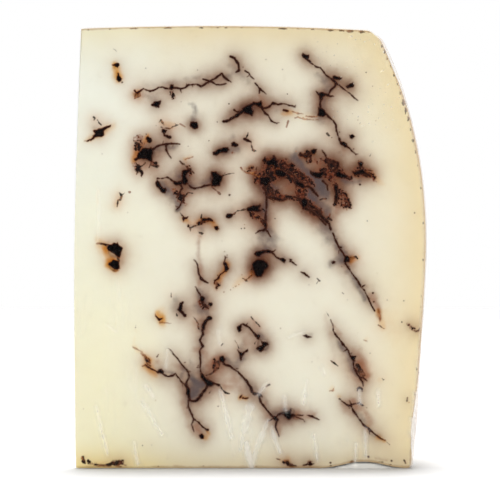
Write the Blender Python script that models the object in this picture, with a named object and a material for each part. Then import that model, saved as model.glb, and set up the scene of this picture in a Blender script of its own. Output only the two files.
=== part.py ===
"""A wedge of sheep milk cheese, a tenth of a drum-shaped wheel, standing on the wheel's flat underside.

The wedge is one solid. Its section is drawn in the plane of the front cut face, as distance from the wheel's
axis and height above the table, and is then spun about that axis through the angle of the wedge. The front
cut face looks along -Y, with the point of the wedge at -X and the rind of the wheel's side at +X.
"""

import math

import bmesh
import bpy
from mathutils import Matrix, Vector, noise

MM = 0.001

# The wheel
WHEEL_HEIGHT = 136 * MM
BELLY_RADIUS = 109.5 * MM
BELLY_HEIGHT = 68 * MM
SIDE_LEAN_ABOVE = 15.9 * MM
SIDE_CURVE_ABOVE = 2.2
SIDE_LEAN_BELOW = 4.6 * MM
SIDE_CURVE_BELOW = 1.3
SHOULDER_SIZE = 3.4 * MM
FOOT_SIZE = 1.0 * MM

# The top sinks a little towards the point of the wedge and towards the rind
DOME_RADIUS = 45 * MM
DOME_DROP_AT_POINT = 0.9 * MM
DOME_DROP_AT_SIDE = 1.5 * MM

# The underside is flat, apart from a shallow arch just inside the rind
ARCH_MIDDLE = 90 * MM
ARCH_HALF_WIDTH = 13 * MM
ARCH_RISE = 1.9 * MM

# The wedge
WEDGE_ANGLE = math.radians(36)
POINT_BLUNTNESS = 0.9 * MM
POINT_LEAN_AT_TOP = 2.6 * MM
POINT_CURVE_ABOVE = 1.6
POINT_LEAN_AT_FOOT = 0.7 * MM
POINT_CURVE_BELOW = 2
POINT_BULGE_HEIGHT = 58 * MM

# Unevenness of the natural rind
RIND_SWELL = 0.35 * MM
RIND_SWELL_LENGTH = 19 * MM
RIND_DENT = 0.16 * MM
RIND_DENT_LENGTH = 6 * MM
EVEN_ABOVE_UNDERSIDE = 4 * MM
TOP_MARGIN = 0.2 * MM

# How finely the section and the spin are divided
UNDERSIDE_STEPS = 26
SIDE_STEPS = 34
SHOULDER_STEPS = 5
FOOT_STEPS = 2
TOP_STEPS = 22
POINT_STEPS = 14
SPIN_STEPS = 16

# Pockets where lumps of truffle sit in the cut faces: distance from the axis, height and radius, in millimetres
FRONT_POCKETS = {
    "round_hole": (58.1, 61.7, 2.3),
    "point_upper": (13.8, 66.9, 2.2),
    "point_lower": (13.4, 62.2, 1.5),
    "crown_lump": (23.5, 96.8, 2.4),
    "middle_lump": (44.9, 89.2, 1.9),
    "hooked_lump": (59.3, 38.0, 1.9),
    "foot_lump": (67.2, 16.9, 1.7),
}
BACK_POCKETS = {
    "side_lump": (71.0, 92.5, 2.1),
    "middle_hole": (48.5, 57.0, 2.2),
    "crown_lump": (35.0, 104.0, 1.8),
    "foot_lump": (52.0, 27.5, 2.0),
    "point_lump": (21.0, 74.0, 1.7),
}
POCKET_DEPTH_RATIO = 0.62
POCKET_STRETCH = 1.25
POCKET_TURN_PER_MM = math.radians(37)
POCKET_SUBDIVISIONS = 2

PASTE_COLOUR = (0.80, 0.72, 0.52, 1.0)
PASTE_ROUGHNESS = 0.45
SHARP_EDGE_ANGLE = math.radians(30)


def clear_scene():
    for old in list(bpy.data.objects):
        bpy.data.objects.remove(old, do_unlink=True)


def side_radius(height):
    """How far the wheel's barrel side is from the axis at a height."""
    if height > BELLY_HEIGHT:
        share = (height - BELLY_HEIGHT) / (WHEEL_HEIGHT - BELLY_HEIGHT)
        return BELLY_RADIUS - SIDE_LEAN_ABOVE * share**SIDE_CURVE_ABOVE
    share = (BELLY_HEIGHT - height) / BELLY_HEIGHT
    return BELLY_RADIUS - SIDE_LEAN_BELOW * share**SIDE_CURVE_BELOW


def point_radius(height):
    """How far the blunt point of the wedge is from the axis: it bows, and leans in at the top."""
    if height > POINT_BULGE_HEIGHT:
        share = (height - POINT_BULGE_HEIGHT) / (WHEEL_HEIGHT - POINT_BULGE_HEIGHT)
        return POINT_BLUNTNESS + POINT_LEAN_AT_TOP * share**POINT_CURVE_ABOVE
    share = (POINT_BULGE_HEIGHT - height) / POINT_BULGE_HEIGHT
    return POINT_BLUNTNESS + POINT_LEAN_AT_FOOT * share**POINT_CURVE_BELOW


def top_height(radius):
    if radius > DOME_RADIUS:
        reach = side_radius(WHEEL_HEIGHT) - DOME_RADIUS
        return WHEEL_HEIGHT - DOME_DROP_AT_SIDE * ((radius - DOME_RADIUS) / reach) ** 2
    return WHEEL_HEIGHT - DOME_DROP_AT_POINT * ((DOME_RADIUS - radius) / DOME_RADIUS) ** 2


def underside_height(radius):
    share = (radius - ARCH_MIDDLE) / ARCH_HALF_WIDTH
    if abs(share) >= 1:
        return 0.0
    return ARCH_RISE * math.cos(share * math.pi / 2) ** 2


def rounded_corner(start, corner, end, steps):
    """Points of a curve that leaves start towards corner and reaches end, both ends included."""
    points = []
    for step in range(steps + 1):
        share = step / steps
        points.append(
            (1 - share) ** 2 * Vector(start)
            + 2 * (1 - share) * share * Vector(corner)
            + share**2 * Vector(end)
        )
    return points


def section_outline():
    """The outline of a cut face, anticlockwise from the foot of the point, as (radius, height)."""
    foot_radius = side_radius(0)
    shoulder_height = top_height(side_radius(WHEEL_HEIGHT))
    shoulder_radius = side_radius(shoulder_height)
    start, end = point_radius(0), foot_radius - FOOT_SIZE
    outline = []
    for step in range(UNDERSIDE_STEPS):
        radius = start + (end - start) * step / UNDERSIDE_STEPS
        outline.append(Vector((radius, underside_height(radius))))
    outline += rounded_corner(
        (end, 0.0), (foot_radius, 0.0), (side_radius(FOOT_SIZE), FOOT_SIZE), FOOT_STEPS
    )
    start, end = FOOT_SIZE, shoulder_height - SHOULDER_SIZE
    for step in range(1, SIDE_STEPS):
        height = start + (end - start) * step / SIDE_STEPS
        outline.append(Vector((side_radius(height), height)))
    start, top_end = end, shoulder_radius - SHOULDER_SIZE
    outline += rounded_corner(
        (side_radius(start), start),
        (shoulder_radius, shoulder_height),
        (top_end, top_height(top_end)),
        SHOULDER_STEPS,
    )
    top_start = point_radius(WHEEL_HEIGHT)
    for step in range(1, TOP_STEPS + 1):
        radius = top_end + (top_start - top_end) * step / TOP_STEPS
        outline.append(Vector((radius, top_height(radius))))
    height_at_point = top_height(top_start)
    for step in range(1, POINT_STEPS):
        height = height_at_point * (1 - step / POINT_STEPS)
        outline.append(Vector((point_radius(height), height)))
    return outline


def roughen_rind(mesh_in_edit):
    """Swells and dents the rind in and out from the axis and up and down, and leaves the underside flat."""
    for vertex in mesh_in_edit.verts:
        place = vertex.co
        radius = math.hypot(place.x, place.y)
        outwards = Vector((place.x, place.y, 0)) / radius
        swell = RIND_SWELL * noise.noise(place / RIND_SWELL_LENGTH)
        swell += RIND_DENT * noise.noise(place / RIND_DENT_LENGTH)
        on_side = radius > side_radius(place.z) - SHOULDER_SIZE and place.z > EVEN_ABOVE_UNDERSIDE
        on_top = place.z > top_height(radius) - TOP_MARGIN
        if on_top:
            vertex.co.z += swell
        if on_side:
            vertex.co += outwards * swell


def make_wedge():
    mesh_in_edit = bmesh.new()
    outline = section_outline()
    corners = [mesh_in_edit.verts.new((p.x, 0, p.y)) for p in outline]
    face = mesh_in_edit.faces.new(corners)
    bmesh.ops.spin(
        mesh_in_edit,
        geom=[face, *face.edges, *face.verts],
        cent=(0, 0, 0),
        axis=(0, 0, 1),
        angle=WEDGE_ANGLE,
        steps=SPIN_STEPS,
    )
    bmesh.ops.recalc_face_normals(mesh_in_edit, faces=mesh_in_edit.faces)
    roughen_rind(mesh_in_edit)
    mesh = bpy.data.meshes.new("cheese_wedge")
    mesh_in_edit.to_mesh(mesh)
    mesh_in_edit.free()
    wedge = bpy.data.objects.new("cheese_wedge", mesh)
    bpy.context.scene.collection.objects.link(wedge)
    return wedge


def make_pocket_cutter():
    """All the pockets of both cut faces, as one cutter of separate flattened balls."""
    mesh_in_edit = bmesh.new()
    for pockets, angle in ((FRONT_POCKETS, 0.0), (BACK_POCKETS, WEDGE_ANGLE)):
        for radius_mm, height_mm, size_mm in pockets.values():
            size = size_mm * MM
            squash = Matrix.Diagonal((POCKET_STRETCH, POCKET_DEPTH_RATIO, 1.0, 1.0))
            turn = Matrix.Rotation(POCKET_TURN_PER_MM * size_mm, 4, "Y")
            put = Matrix.Translation((radius_mm * MM, 0, height_mm * MM))
            swing = Matrix.Rotation(angle, 4, "Z")
            bmesh.ops.create_icosphere(
                mesh_in_edit,
                subdivisions=POCKET_SUBDIVISIONS,
                radius=size,
                matrix=swing @ put @ turn @ squash,
            )
    mesh = bpy.data.meshes.new("pocket_cutter")
    mesh_in_edit.to_mesh(mesh)
    mesh_in_edit.free()
    cutter = bpy.data.objects.new("pocket_cutter", mesh)
    bpy.context.scene.collection.objects.link(cutter)
    cutter.hide_render = True
    cutter.display_type = "WIRE"
    return cutter


def make_paste_material():
    material = bpy.data.materials.new("cheese_paste")
    material.use_nodes = True
    shader = material.node_tree.nodes["Principled BSDF"]
    shader.inputs["Base Color"].default_value = PASTE_COLOUR
    shader.inputs["Roughness"].default_value = PASTE_ROUGHNESS
    shader.inputs["Metallic"].default_value = 0.0
    return material


def centre_on_base(pieces, measured):
    """Moves the pieces so that the middle of the measured piece's footprint is the origin."""
    places = [vertex.co for vertex in measured.data.vertices]
    lowest = Vector([min(place[axis] for place in places) for axis in range(3)])
    highest = Vector([max(place[axis] for place in places) for axis in range(3)])
    middle = (lowest + highest) / 2
    shift = Matrix.Translation((-middle.x, -middle.y, -lowest.z))
    for piece in pieces:
        piece.data.transform(shift)


def build():
    clear_scene()
    wedge = make_wedge()
    cutter = make_pocket_cutter()
    centre_on_base([wedge, cutter], wedge)
    carve = wedge.modifiers.new("truffle_pockets", "BOOLEAN")
    carve.object = cutter
    carve.operation = "DIFFERENCE"
    carve.solver = "EXACT"
    wedge.data.materials.append(make_paste_material())
    wedge.data.shade_smooth()
    wedge.data.set_sharp_from_angle(angle=SHARP_EDGE_ANGLE)


build()
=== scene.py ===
# %% [markdown]
# # A wedge of sheep milk cheese, wrapped in clear film
#
# The cheese is a tenth of a drum-shaped wheel. It stands on the wheel's flat underside, one cut face to the
# camera. Black veins of truffle run through the ivory paste, a thin straw rind closes it above, below and
# on the right, and clear film clings to it all round. This lesson models the wedge, draws its veins, lays
# crumbs of truffle in them, and wraps the whole.

# %% Load the fixed frame
import math

import bpy
import numpy as np
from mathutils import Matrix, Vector, noise


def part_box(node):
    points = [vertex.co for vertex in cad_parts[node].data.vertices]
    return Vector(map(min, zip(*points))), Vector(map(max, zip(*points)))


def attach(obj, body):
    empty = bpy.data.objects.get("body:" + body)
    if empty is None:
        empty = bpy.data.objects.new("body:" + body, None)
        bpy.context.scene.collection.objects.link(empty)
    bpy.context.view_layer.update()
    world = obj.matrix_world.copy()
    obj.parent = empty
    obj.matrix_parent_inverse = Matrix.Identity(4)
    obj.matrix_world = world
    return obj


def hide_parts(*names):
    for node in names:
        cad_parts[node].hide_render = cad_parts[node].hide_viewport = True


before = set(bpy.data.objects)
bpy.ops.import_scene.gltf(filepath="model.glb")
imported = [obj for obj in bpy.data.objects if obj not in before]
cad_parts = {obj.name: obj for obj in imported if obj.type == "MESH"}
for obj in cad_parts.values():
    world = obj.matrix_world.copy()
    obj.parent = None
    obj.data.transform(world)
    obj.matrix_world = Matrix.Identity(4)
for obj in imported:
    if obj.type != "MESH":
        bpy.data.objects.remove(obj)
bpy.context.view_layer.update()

# %% [markdown]
# ## Where things are
#
# Everything is measured in millimetres on the cut face: r is the distance from the wheel's axis, z the
# height above the table. The solid model's box says where that axis stands: the blunt point of the wedge is
# nearest to the axis where it has turned through the whole angle of the wedge.

# %% Sizes of the wheel and the wedge
MM = 0.001
WHEEL_HEIGHT, BELLY_RADIUS, BELLY_HEIGHT = 136.0, 109.5, 68.0
POINT_RADIUS, POINT_HEIGHT = 0.9, 58.0
WEDGE_ANGLE = math.radians(36)
SHOULDER, FOOT = 3.4, 1.0
low_corner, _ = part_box("cheese_wedge")
AXIS_X = low_corner.x / MM - POINT_RADIUS * math.cos(WEDGE_ANGLE)
AXIS_Y = low_corner.y / MM
print("wheel's axis, mm:", round(AXIS_X, 2), round(AXIS_Y, 2))


def side_radius(z):
    """How far the barrel side of the wheel is from its axis at the heights z."""
    above = np.clip((z - BELLY_HEIGHT) / (WHEEL_HEIGHT - BELLY_HEIGHT), 0, 1)
    below = np.clip((BELLY_HEIGHT - z) / BELLY_HEIGHT, 0, 1)
    return BELLY_RADIUS - 15.9 * above**2.2 - 4.6 * below**1.3


def point_radius(z):
    """How far the blunt point of the wedge is from the axis at the heights z."""
    above = np.clip((z - POINT_HEIGHT) / (WHEEL_HEIGHT - POINT_HEIGHT), 0, 1)
    below = np.clip((POINT_HEIGHT - z) / POINT_HEIGHT, 0, 1)
    return POINT_RADIUS + 2.6 * above**1.6 + 0.7 * below**2


def top_height(r):
    """How high the slightly domed top is at the distances r from the axis."""
    rim = side_radius(np.array(WHEEL_HEIGHT))
    return (
        WHEEL_HEIGHT
        - 1.5 * np.clip((r - 45) / (rim - 45), 0, 2) ** 2
        - 0.9 * np.clip((45 - r) / 45, 0, 1) ** 2
    )


def underside_height(r):
    """How high the shallow arch just inside the rind lifts the underside off the table."""
    share = np.clip((r - 90) / 13, -1, 1)
    return 1.9 * np.cos(share * math.pi / 2) ** 2


# %% [markdown]
# ## Camera
#
# The photograph looks straight at the cut face from mid height, so the top and the rind's side don't show.
# A long lens from 70 cm keeps the face's edges as straight as they are there.

# %% Camera
PHOTO_WIDTH = 153.4
CAMERA_DISTANCE = 700.0
eye_data = bpy.data.cameras.new("eye")
eye = bpy.data.objects.new("eye", eye_data)
bpy.context.scene.collection.objects.link(eye)
eye.location = ((AXIS_X + 55.2) * MM, (AXIS_Y - CAMERA_DISTANCE) * MM, 67.0 * MM)
eye.rotation_euler = (math.radians(90), 0, 0)
eye_data.sensor_width = 36
eye_data.lens = 36 * CAMERA_DISTANCE / PHOTO_WIDTH
eye_data.clip_start, eye_data.clip_end = 0.05, 20
bpy.context.scene.camera = eye
print("lens, mm:", round(eye_data.lens, 1))

# %% [markdown]
# ## Floor and light
#
# A white table and a white room, as in a packshot. One soft light comes from straight above, so that a
# narrow shadow lies under the front edge, and two low softboxes beside the camera light the face and glint
# on the film's pleats. The room that the camera sees is pure white, while the light that it sheds is
# dimmer, so that the blacks stay black behind the film.

# %% Floor
bpy.ops.object.select_all(action="DESELECT")
bpy.ops.mesh.primitive_plane_add(size=3.0, location=(0, 0.4, 0))
floor = bpy.context.object
floor.name = "floor"
bpy.ops.object.mode_set(mode="EDIT")
bpy.ops.mesh.subdivide(number_cuts=4)
bpy.ops.object.mode_set(mode="OBJECT")
bpy.ops.object.transform_apply(location=True, rotation=True, scale=True)
table = bpy.data.materials.new("white_table")
table.use_nodes = True
table.node_tree.nodes["Principled BSDF"].inputs["Base Color"].default_value = (0.69, 0.69, 0.69, 1)
table.node_tree.nodes["Principled BSDF"].inputs["Roughness"].default_value = 0.9
table.node_tree.nodes["Principled BSDF"].inputs["Specular IOR Level"].default_value = 0.1
floor.data.materials.append(table)
print("floor:", len(floor.data.polygons), "faces")


# %% Lights
def softbox(name, place, aim, size, power):
    lamp = bpy.data.lights.new(name, "AREA")
    lamp.shape, lamp.size, lamp.size_y, lamp.energy = "RECTANGLE", size[0], size[1], power
    holder = bpy.data.objects.new(name, lamp)
    bpy.context.scene.collection.objects.link(holder)
    holder.location = place
    holder.rotation_euler = (Vector(aim) - Vector(place)).to_track_quat("-Z", "Y").to_euler()
    return holder


def soft_sun(name, towards, spread, strength):
    lamp = bpy.data.lights.new(name, "SUN")
    lamp.angle, lamp.energy = math.radians(spread), strength
    holder = bpy.data.objects.new(name, lamp)
    bpy.context.scene.collection.objects.link(holder)
    holder.rotation_euler = Vector(towards).to_track_quat("-Z", "Y").to_euler()
    return holder


soft_sun("ceiling", (0, -0.12, -1), 20, 4.0)
softbox("left_box", (-0.75, -1.25, 0.26), (0, 0, 0.06), (0.5, 0.4), 6.5)
softbox("right_box", (0.7, -1.3, 0.22), (0, 0, 0.06), (0.35, 0.35), 4.6)
softbox("back_box", (0.1, 1.1, 0.7), (0, 0, 0.05), (0.8, 0.5), 4.0)

# %% The room
room = bpy.data.worlds.new("room")
room.use_nodes = True
bpy.context.scene.world = room
paint = room.node_tree.nodes
seen = paint.new("ShaderNodeLightPath")
strength = paint.new("ShaderNodeMapRange")
strength.inputs["To Min"].default_value = 0.22
strength.inputs["To Max"].default_value = 1.0
room.node_tree.links.new(seen.outputs["Is Camera Ray"], strength.inputs["Value"])
room.node_tree.links.new(strength.outputs["Result"], paint["Background"].inputs["Strength"])
paint["Background"].inputs["Color"].default_value = (1, 1, 1, 1)
bpy.context.scene.view_settings.view_transform = "Standard"
print("light of the room:", [round(strength.inputs[end].default_value, 2) for end in ("To Min", "To Max")])

# %% [markdown]
# ## The wedge as a block
#
# A cheesemonger cuts a wedge with two straight cuts that meet on the wheel's axis. Here it is made the same
# way round: a flat grid is bent to the outline of the cut face, and spun about the axis through the angle
# of the wedge. The grid leaves even squares on both cut faces, which can be cut finer where the veins run.
# The cheese is made a fraction of a millimetre smaller than the film that wraps it.


# %% Helpers for meshes
def only(piece):
    """Makes the piece the one that is selected and active."""
    bpy.ops.object.select_all(action="DESELECT")
    piece.select_set(True)
    bpy.context.view_layer.objects.active = piece


def corners_of(piece):
    """The places of a mesh's vertices in millimetres, one row each."""
    places = np.empty(3 * len(piece.data.vertices))
    piece.data.vertices.foreach_get("co", places)
    return places.reshape(-1, 3) / MM


def move_corners(piece, places):
    piece.data.vertices.foreach_set("co", (places * MM).ravel())
    piece.data.update()


def select_faces(piece, wanted):
    """Selects the faces that wanted says, and nothing else, ready for edit mode."""
    bpy.context.tool_settings.mesh_select_mode = (False, False, True)
    mesh = piece.data
    mesh.vertices.foreach_set("select", np.zeros(len(mesh.vertices), bool))
    mesh.edges.foreach_set("select", np.zeros(len(mesh.edges), bool))
    mesh.polygons.foreach_set("select", np.asarray(wanted, bool))


def face_middles(piece):
    middles = np.empty(3 * len(piece.data.polygons))
    piece.data.polygons.foreach_get("center", middles)
    return middles.reshape(-1, 3) / MM


def on_cut_faces(places):
    """r and z on the nearer cut face, the depth behind that face, and whether it is the front one."""
    x, y = places[:, 0] - AXIS_X, places[:, 1] - AXIS_Y
    behind_front = y
    behind_back = x * math.sin(WEDGE_ANGLE) - y * math.cos(WEDGE_ANGLE)
    front = behind_front <= behind_back
    along_back = x * math.cos(WEDGE_ANGLE) + y * math.sin(WEDGE_ANGLE)
    return np.where(front, x, along_back), places[:, 2], np.minimum(behind_front, behind_back), front


def spread(places):
    """Soft swells and hollows of a few millimetres' length, from -1 to 1, the same for cheese and film."""
    return np.array([noise.noise(Vector(p) / 21.0) + 0.4 * noise.noise(Vector(p) / 7.0) for p in places])


# %% The block itself
def wedge_block(name, across, up, turns, inset):
    """A closed wedge whose faces all lie the inset behind those of the whole one."""
    bpy.ops.object.select_all(action="DESELECT")
    bpy.ops.mesh.primitive_grid_add(
        x_subdivisions=across, y_subdivisions=up, size=1, rotation=(math.pi / 2, 0, 0)
    )
    block = bpy.context.object
    block.name = block.data.name = name
    bpy.ops.object.transform_apply(location=True, rotation=True, scale=True)
    places = corners_of(block) * MM
    u, v = places[:, 0] + 0.5, places[:, 2] + 0.5
    z = v * WHEEL_HEIGHT
    for _ in range(4):
        r = (1 - u) * (point_radius(z) + inset) + u * (side_radius(z) - inset)
        z = (1 - v) * (underside_height(r) + 0.4 * inset) + v * (top_height(r) - inset)
    rim, deck = side_radius(z) - inset, top_height(r) - inset
    for round_by, upward in ((SHOULDER, True), (FOOT, False)):
        level = deck - z if upward else z - 0.4 * inset
        a = np.clip(1 - (rim - r) / round_by, 0, 1)
        b = np.clip(1 - level / round_by, 0, 1)
        r = r - round_by * a * (1 - np.sqrt(1 - b**2 / 2))
        z = z - (1 if upward else -1) * round_by * b * (1 - np.sqrt(1 - a**2 / 2))
    slide = inset / math.sin(WEDGE_ANGLE / 2)
    hub_x = AXIS_X + slide * math.cos(WEDGE_ANGLE / 2)
    hub_y = AXIS_Y + slide * math.sin(WEDGE_ANGLE / 2)
    move_corners(block, np.column_stack((AXIS_X + r, np.full(len(r), hub_y), z)))
    bpy.ops.object.mode_set(mode="EDIT")
    bpy.ops.mesh.select_all(action="SELECT")
    bpy.ops.mesh.spin(
        steps=turns, dupli=False, angle=WEDGE_ANGLE, center=(hub_x * MM, hub_y * MM, 0), axis=(0, 0, -1)
    )
    bpy.ops.mesh.select_all(action="SELECT")
    bpy.ops.mesh.remove_doubles(threshold=0.15 * MM)
    bpy.ops.mesh.normals_make_consistent(inside=False)
    bpy.ops.object.mode_set(mode="OBJECT")
    return block


CHEESE_INSET = 0.30
cheese = wedge_block("cheese", across=110, up=136, turns=44, inset=CHEESE_INSET)
print("cheese block:", len(cheese.data.polygons), "faces")
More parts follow.
